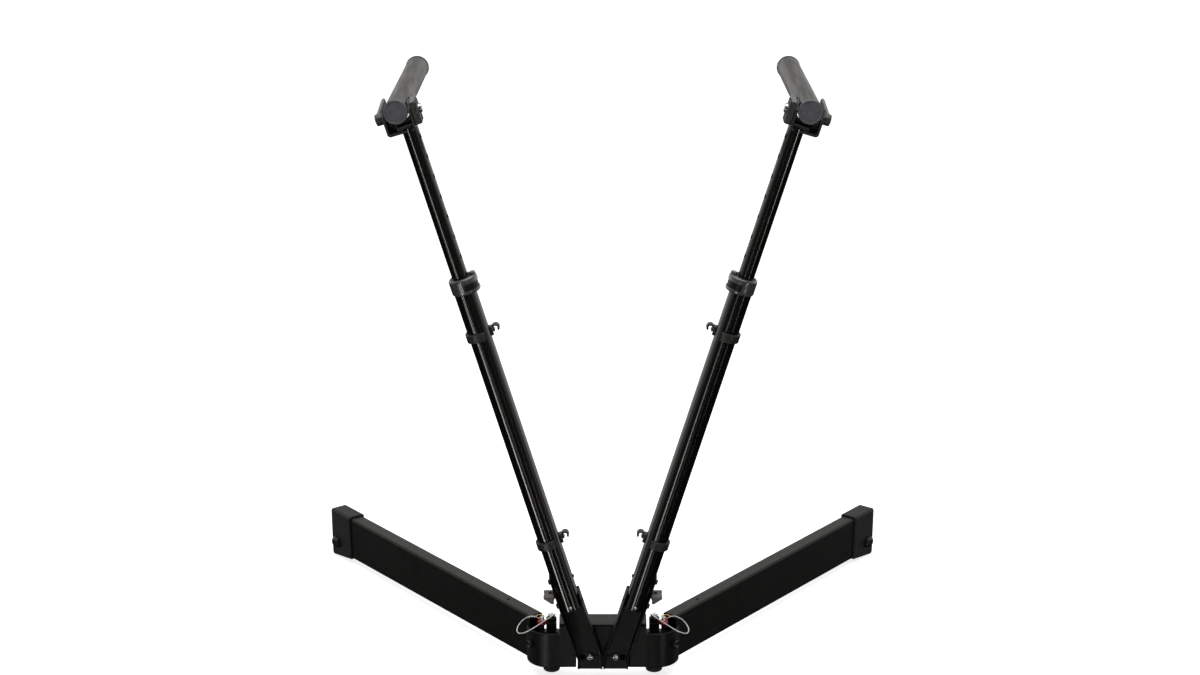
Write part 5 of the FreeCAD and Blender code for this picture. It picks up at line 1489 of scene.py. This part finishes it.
@dataclass
class Studio:
    """Camera at the photograph's place, pale floor, and soft light from above and behind."""

    camera_place: tuple[float, float, float] = (-0.00458, -4.19696, 1.92712)
    camera_pitch: float = 71.21
    lens: float = 81.24
    sensor: float = 36.0
    floor_half: float = 14.0
    floor_glow: float = 0.8
    box_middle: tuple[float, float, float] = (0.0, -0.6, 2.9)
    box_size: tuple[float, float] = (3.0, 2.6)
    box_power: float = 60.0
    # Ramps of the surround over a direction's Z or Y: start, end, and the values there.
    raised: tuple[float, float, float, float] = (-0.4, -0.08, 0.0, 1.0)
    behind: tuple[float, float, float, float] = (-0.6, 0.35, 0.04, 1.0)
    high: tuple[float, float, float, float] = (0.02, 0.3, 1.0, 0.58)
    least_light: float = 0.01
    # Strip lamps: side and angle of the streak, half width, brightness, Z range of directions.
    strips: tuple[tuple[Side, float, float, float, float, float], ...] = (
        (Side.LEFT, 16.5, 0.075, 12.0, -0.9, -0.44),
        (Side.LEFT, 1.0, 0.03, 3.8, -0.9, -0.33),
        (Side.LEFT, 10.5, 0.06, 8.0, -0.44, 0.1),
        (Side.RIGHT, 16.6, 0.06, 12.0, -0.44, 0.1),
    )

    def camera(self) -> None:
        """Makes the camera."""
        data = bpy.data.cameras.new("view")
        data.lens = self.lens
        data.sensor_width = self.sensor
        eye = bpy.data.objects.new("view", data)
        eye.location = self.camera_place
        eye.rotation_euler = (math.radians(self.camera_pitch), 0.0, 0.0)
        bpy.context.scene.collection.objects.link(eye)
        bpy.context.scene.camera = eye

    def floor(self) -> None:
        """Pale floor that only the camera sees: it throws nothing up into the black tubes."""
        half = self.floor_half
        mesh = bpy.data.meshes.new("studio_floor")
        corners = [(-half, -half, 0), (half, -half, 0), (half, half, 0), (-half, half, 0)]
        mesh.from_pydata(corners, [], [(0, 1, 2, 3)])
        material = bpy.data.materials.new("pale_paper")
        material.use_nodes = True
        shader = material.node_tree.nodes["Principled BSDF"]
        shader.inputs["Base Color"].default_value = (0.9, 0.9, 0.9, 1.0)
        shader.inputs["Roughness"].default_value = 0.9
        shader.inputs["Specular IOR Level"].default_value = 0.0
        shader.inputs["Emission Color"].default_value = (1.0, 1.0, 1.0, 1.0)
        shader.inputs["Emission Strength"].default_value = self.floor_glow
        mesh.materials.append(material)
        floor = bpy.data.objects.new("studio_floor", mesh)
        floor.visible_diffuse = floor.visible_glossy = floor.visible_shadow = False
        bpy.context.scene.collection.objects.link(floor)

    def soft_box(self, name: str, place: tuple[float, float, float],
                 aim: tuple[float, float, float], size: tuple[float, float], power: float) -> None:
        """Area light.

        Args:
            name: Name of the light.
            place: Its middle, in metres.
            aim: Point that it faces.
            size: Width and length.
            power: Watts.
        """
        data = bpy.data.lights.new(name, "AREA")
        data.shape = "RECTANGLE"
        data.size, data.size_y = size
        data.energy = power
        lamp = bpy.data.objects.new(name, data)
        direction = np.array(aim) - np.array(place)
        flat = math.hypot(direction[0], direction[1])
        lamp.rotation_euler = (math.atan2(flat, -direction[2]), 0.0,
                               math.atan2(-direction[0], direction[1]))
        lamp.location = place
        bpy.context.scene.collection.objects.link(lamp)

    def lights(self) -> None:
        """Large soft box overhead."""
        under = (*self.box_middle[:2], 0.0)
        self.soft_box("overhead_box", self.box_middle, under, self.box_size, self.box_power)

    def surround(self) -> None:
        """White studio: bright behind and above, dim in front and below, with strip lamps.

        A strip is the band of directions that a tube's streak reflects: with n the streak's normal
        on the tube and m the normal of the plane through the tube and the camera, its plane has the
        normal 2 (n.m) n - m, and its middle is the camera's direction mirrored in n.
        """
        world = bpy.data.worlds.new("studio")
        bpy.context.scene.world = world
        world.use_nodes = True
        graph = Graph(world.node_tree)
        place = graph.node("ShaderNodeTexCoord")
        unit = graph.node("ShaderNodeVectorMath", operation="NORMALIZE")
        graph.put(unit.inputs[0], place.outputs["Generated"])
        direction = unit.outputs[0]
        parts = graph.node("ShaderNodeSeparateXYZ")
        graph.put(parts.inputs[0], direction)
        raised = graph.ramp(parts.outputs[2], *self.raised)
        behind = graph.ramp(parts.outputs[1], *self.behind)
        high = graph.ramp(parts.outputs[2], *self.high)
        light = graph.value("MULTIPLY", graph.value("MULTIPLY", raised, behind), high)
        light = graph.value("ADD", light, self.least_light)
        for strip in self.strips:
            light = graph.value("ADD", light, self.strip(graph, direction, parts, *strip))
        path = graph.node("ShaderNodeLightPath")
        seen = graph.node("ShaderNodeMix", data_type="FLOAT")
        graph.put(seen.inputs["Factor"], path.outputs["Is Camera Ray"])
        graph.put(seen.inputs["A"], light)
        seen.inputs["B"].default_value = 1.0
        background = graph.node("ShaderNodeBackground")
        background.inputs["Color"].default_value = (1.0, 0.985, 0.965, 1.0)
        graph.put(background.inputs["Strength"], seen.outputs["Result"])
        output = graph.node("ShaderNodeOutputWorld")
        graph.put(output.inputs["Surface"], background.outputs[0])

    def strip(self, graph: Graph, direction, parts, side: Side, angle: float, width: float,
              strength: float, low: float, high: float) -> bpy.types.NodeSocket:
        """Brightness of a strip lamp in a direction.

        Args:
            graph: The world's node tree.
            direction: Direction from the stand.
            parts: The direction's components.
            side: Side of the tube that shows the streak.
            angle: Degrees from the tube's front line towards its outer side.
            width: Half width of the band.
            strength: Its brightness.
            low: Lowest Z of the directions that it fills.
            high: Highest Z of those directions.

        Returns:
            The brightness.
        """
        lean, turn = math.radians(COLUMN_LEAN), math.radians(angle)
        along = np.array([side.value * math.sin(lean), 0.0, math.cos(lean)])
        outward = np.array([side.value * math.cos(lean), 0.0, -math.sin(lean)])
        normal = math.cos(turn) * np.array([0.0, -1.0, 0.0]) + math.sin(turn) * outward
        foot = np.array(COLUMN_FOOT) * (side.value, 1, 1) * MM
        middle = foot + along * 0.4
        view = np.array(self.camera_place) - middle
        view /= np.linalg.norm(view)
        plane = np.cross(along, view)
        plane /= np.linalg.norm(plane)
        band = 2 * (normal @ plane) * normal - plane
        centre = 2 * (normal @ view) * normal - view
        off = graph.value("ABSOLUTE", graph.dot(direction, tuple(band)))
        inside = graph.ramp(off, width, width * 0.5)
        near = graph.ramp(graph.dot(direction, tuple(centre)), 0.95, 0.97)
        above = graph.ramp(parts.outputs[2], low, low + 0.05)
        below = graph.ramp(parts.outputs[2], high, high - 0.05)
        return graph.value("MULTIPLY", graph.value("MULTIPLY", inside, near),
                           graph.value("MULTIPLY", graph.value("MULTIPLY", above, below), strength))

    def build(self) -> None:
        """Makes the floor, the lights and the surround, and sets plain colours."""
        self.floor()
        self.lights()
        self.surround()
        bpy.context.scene.view_settings.view_transform = "Standard"


def dress_nodes(book: FinishBook) -> None:
    """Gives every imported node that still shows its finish."""
    for name, node in sorted(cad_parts.items()):
        material = book.of_node(node)
        for slot in node.material_slots:
            slot.material = material
        LOG.info("%s: %s", name, material.name)


def main() -> None:
    """Builds the stand's looks and the studio."""
    logging.basicConfig(level=logging.INFO, format="%(name)s %(message)s")
    studio = Studio()
    studio.camera()
    book = FinishBook()
    for side in Side:
        PullPin(side, book).build_lanyard()
    for side in Side:
        for kind in (LegRoot, PullPin, LegEnd, ColumnFoot, Tubes, ColumnMiddle, Head):
            kind(side, book).build()
    Hub(book).build()
    dress_nodes(book)
    studio.build()


if __name__ == "__main__":
    main()
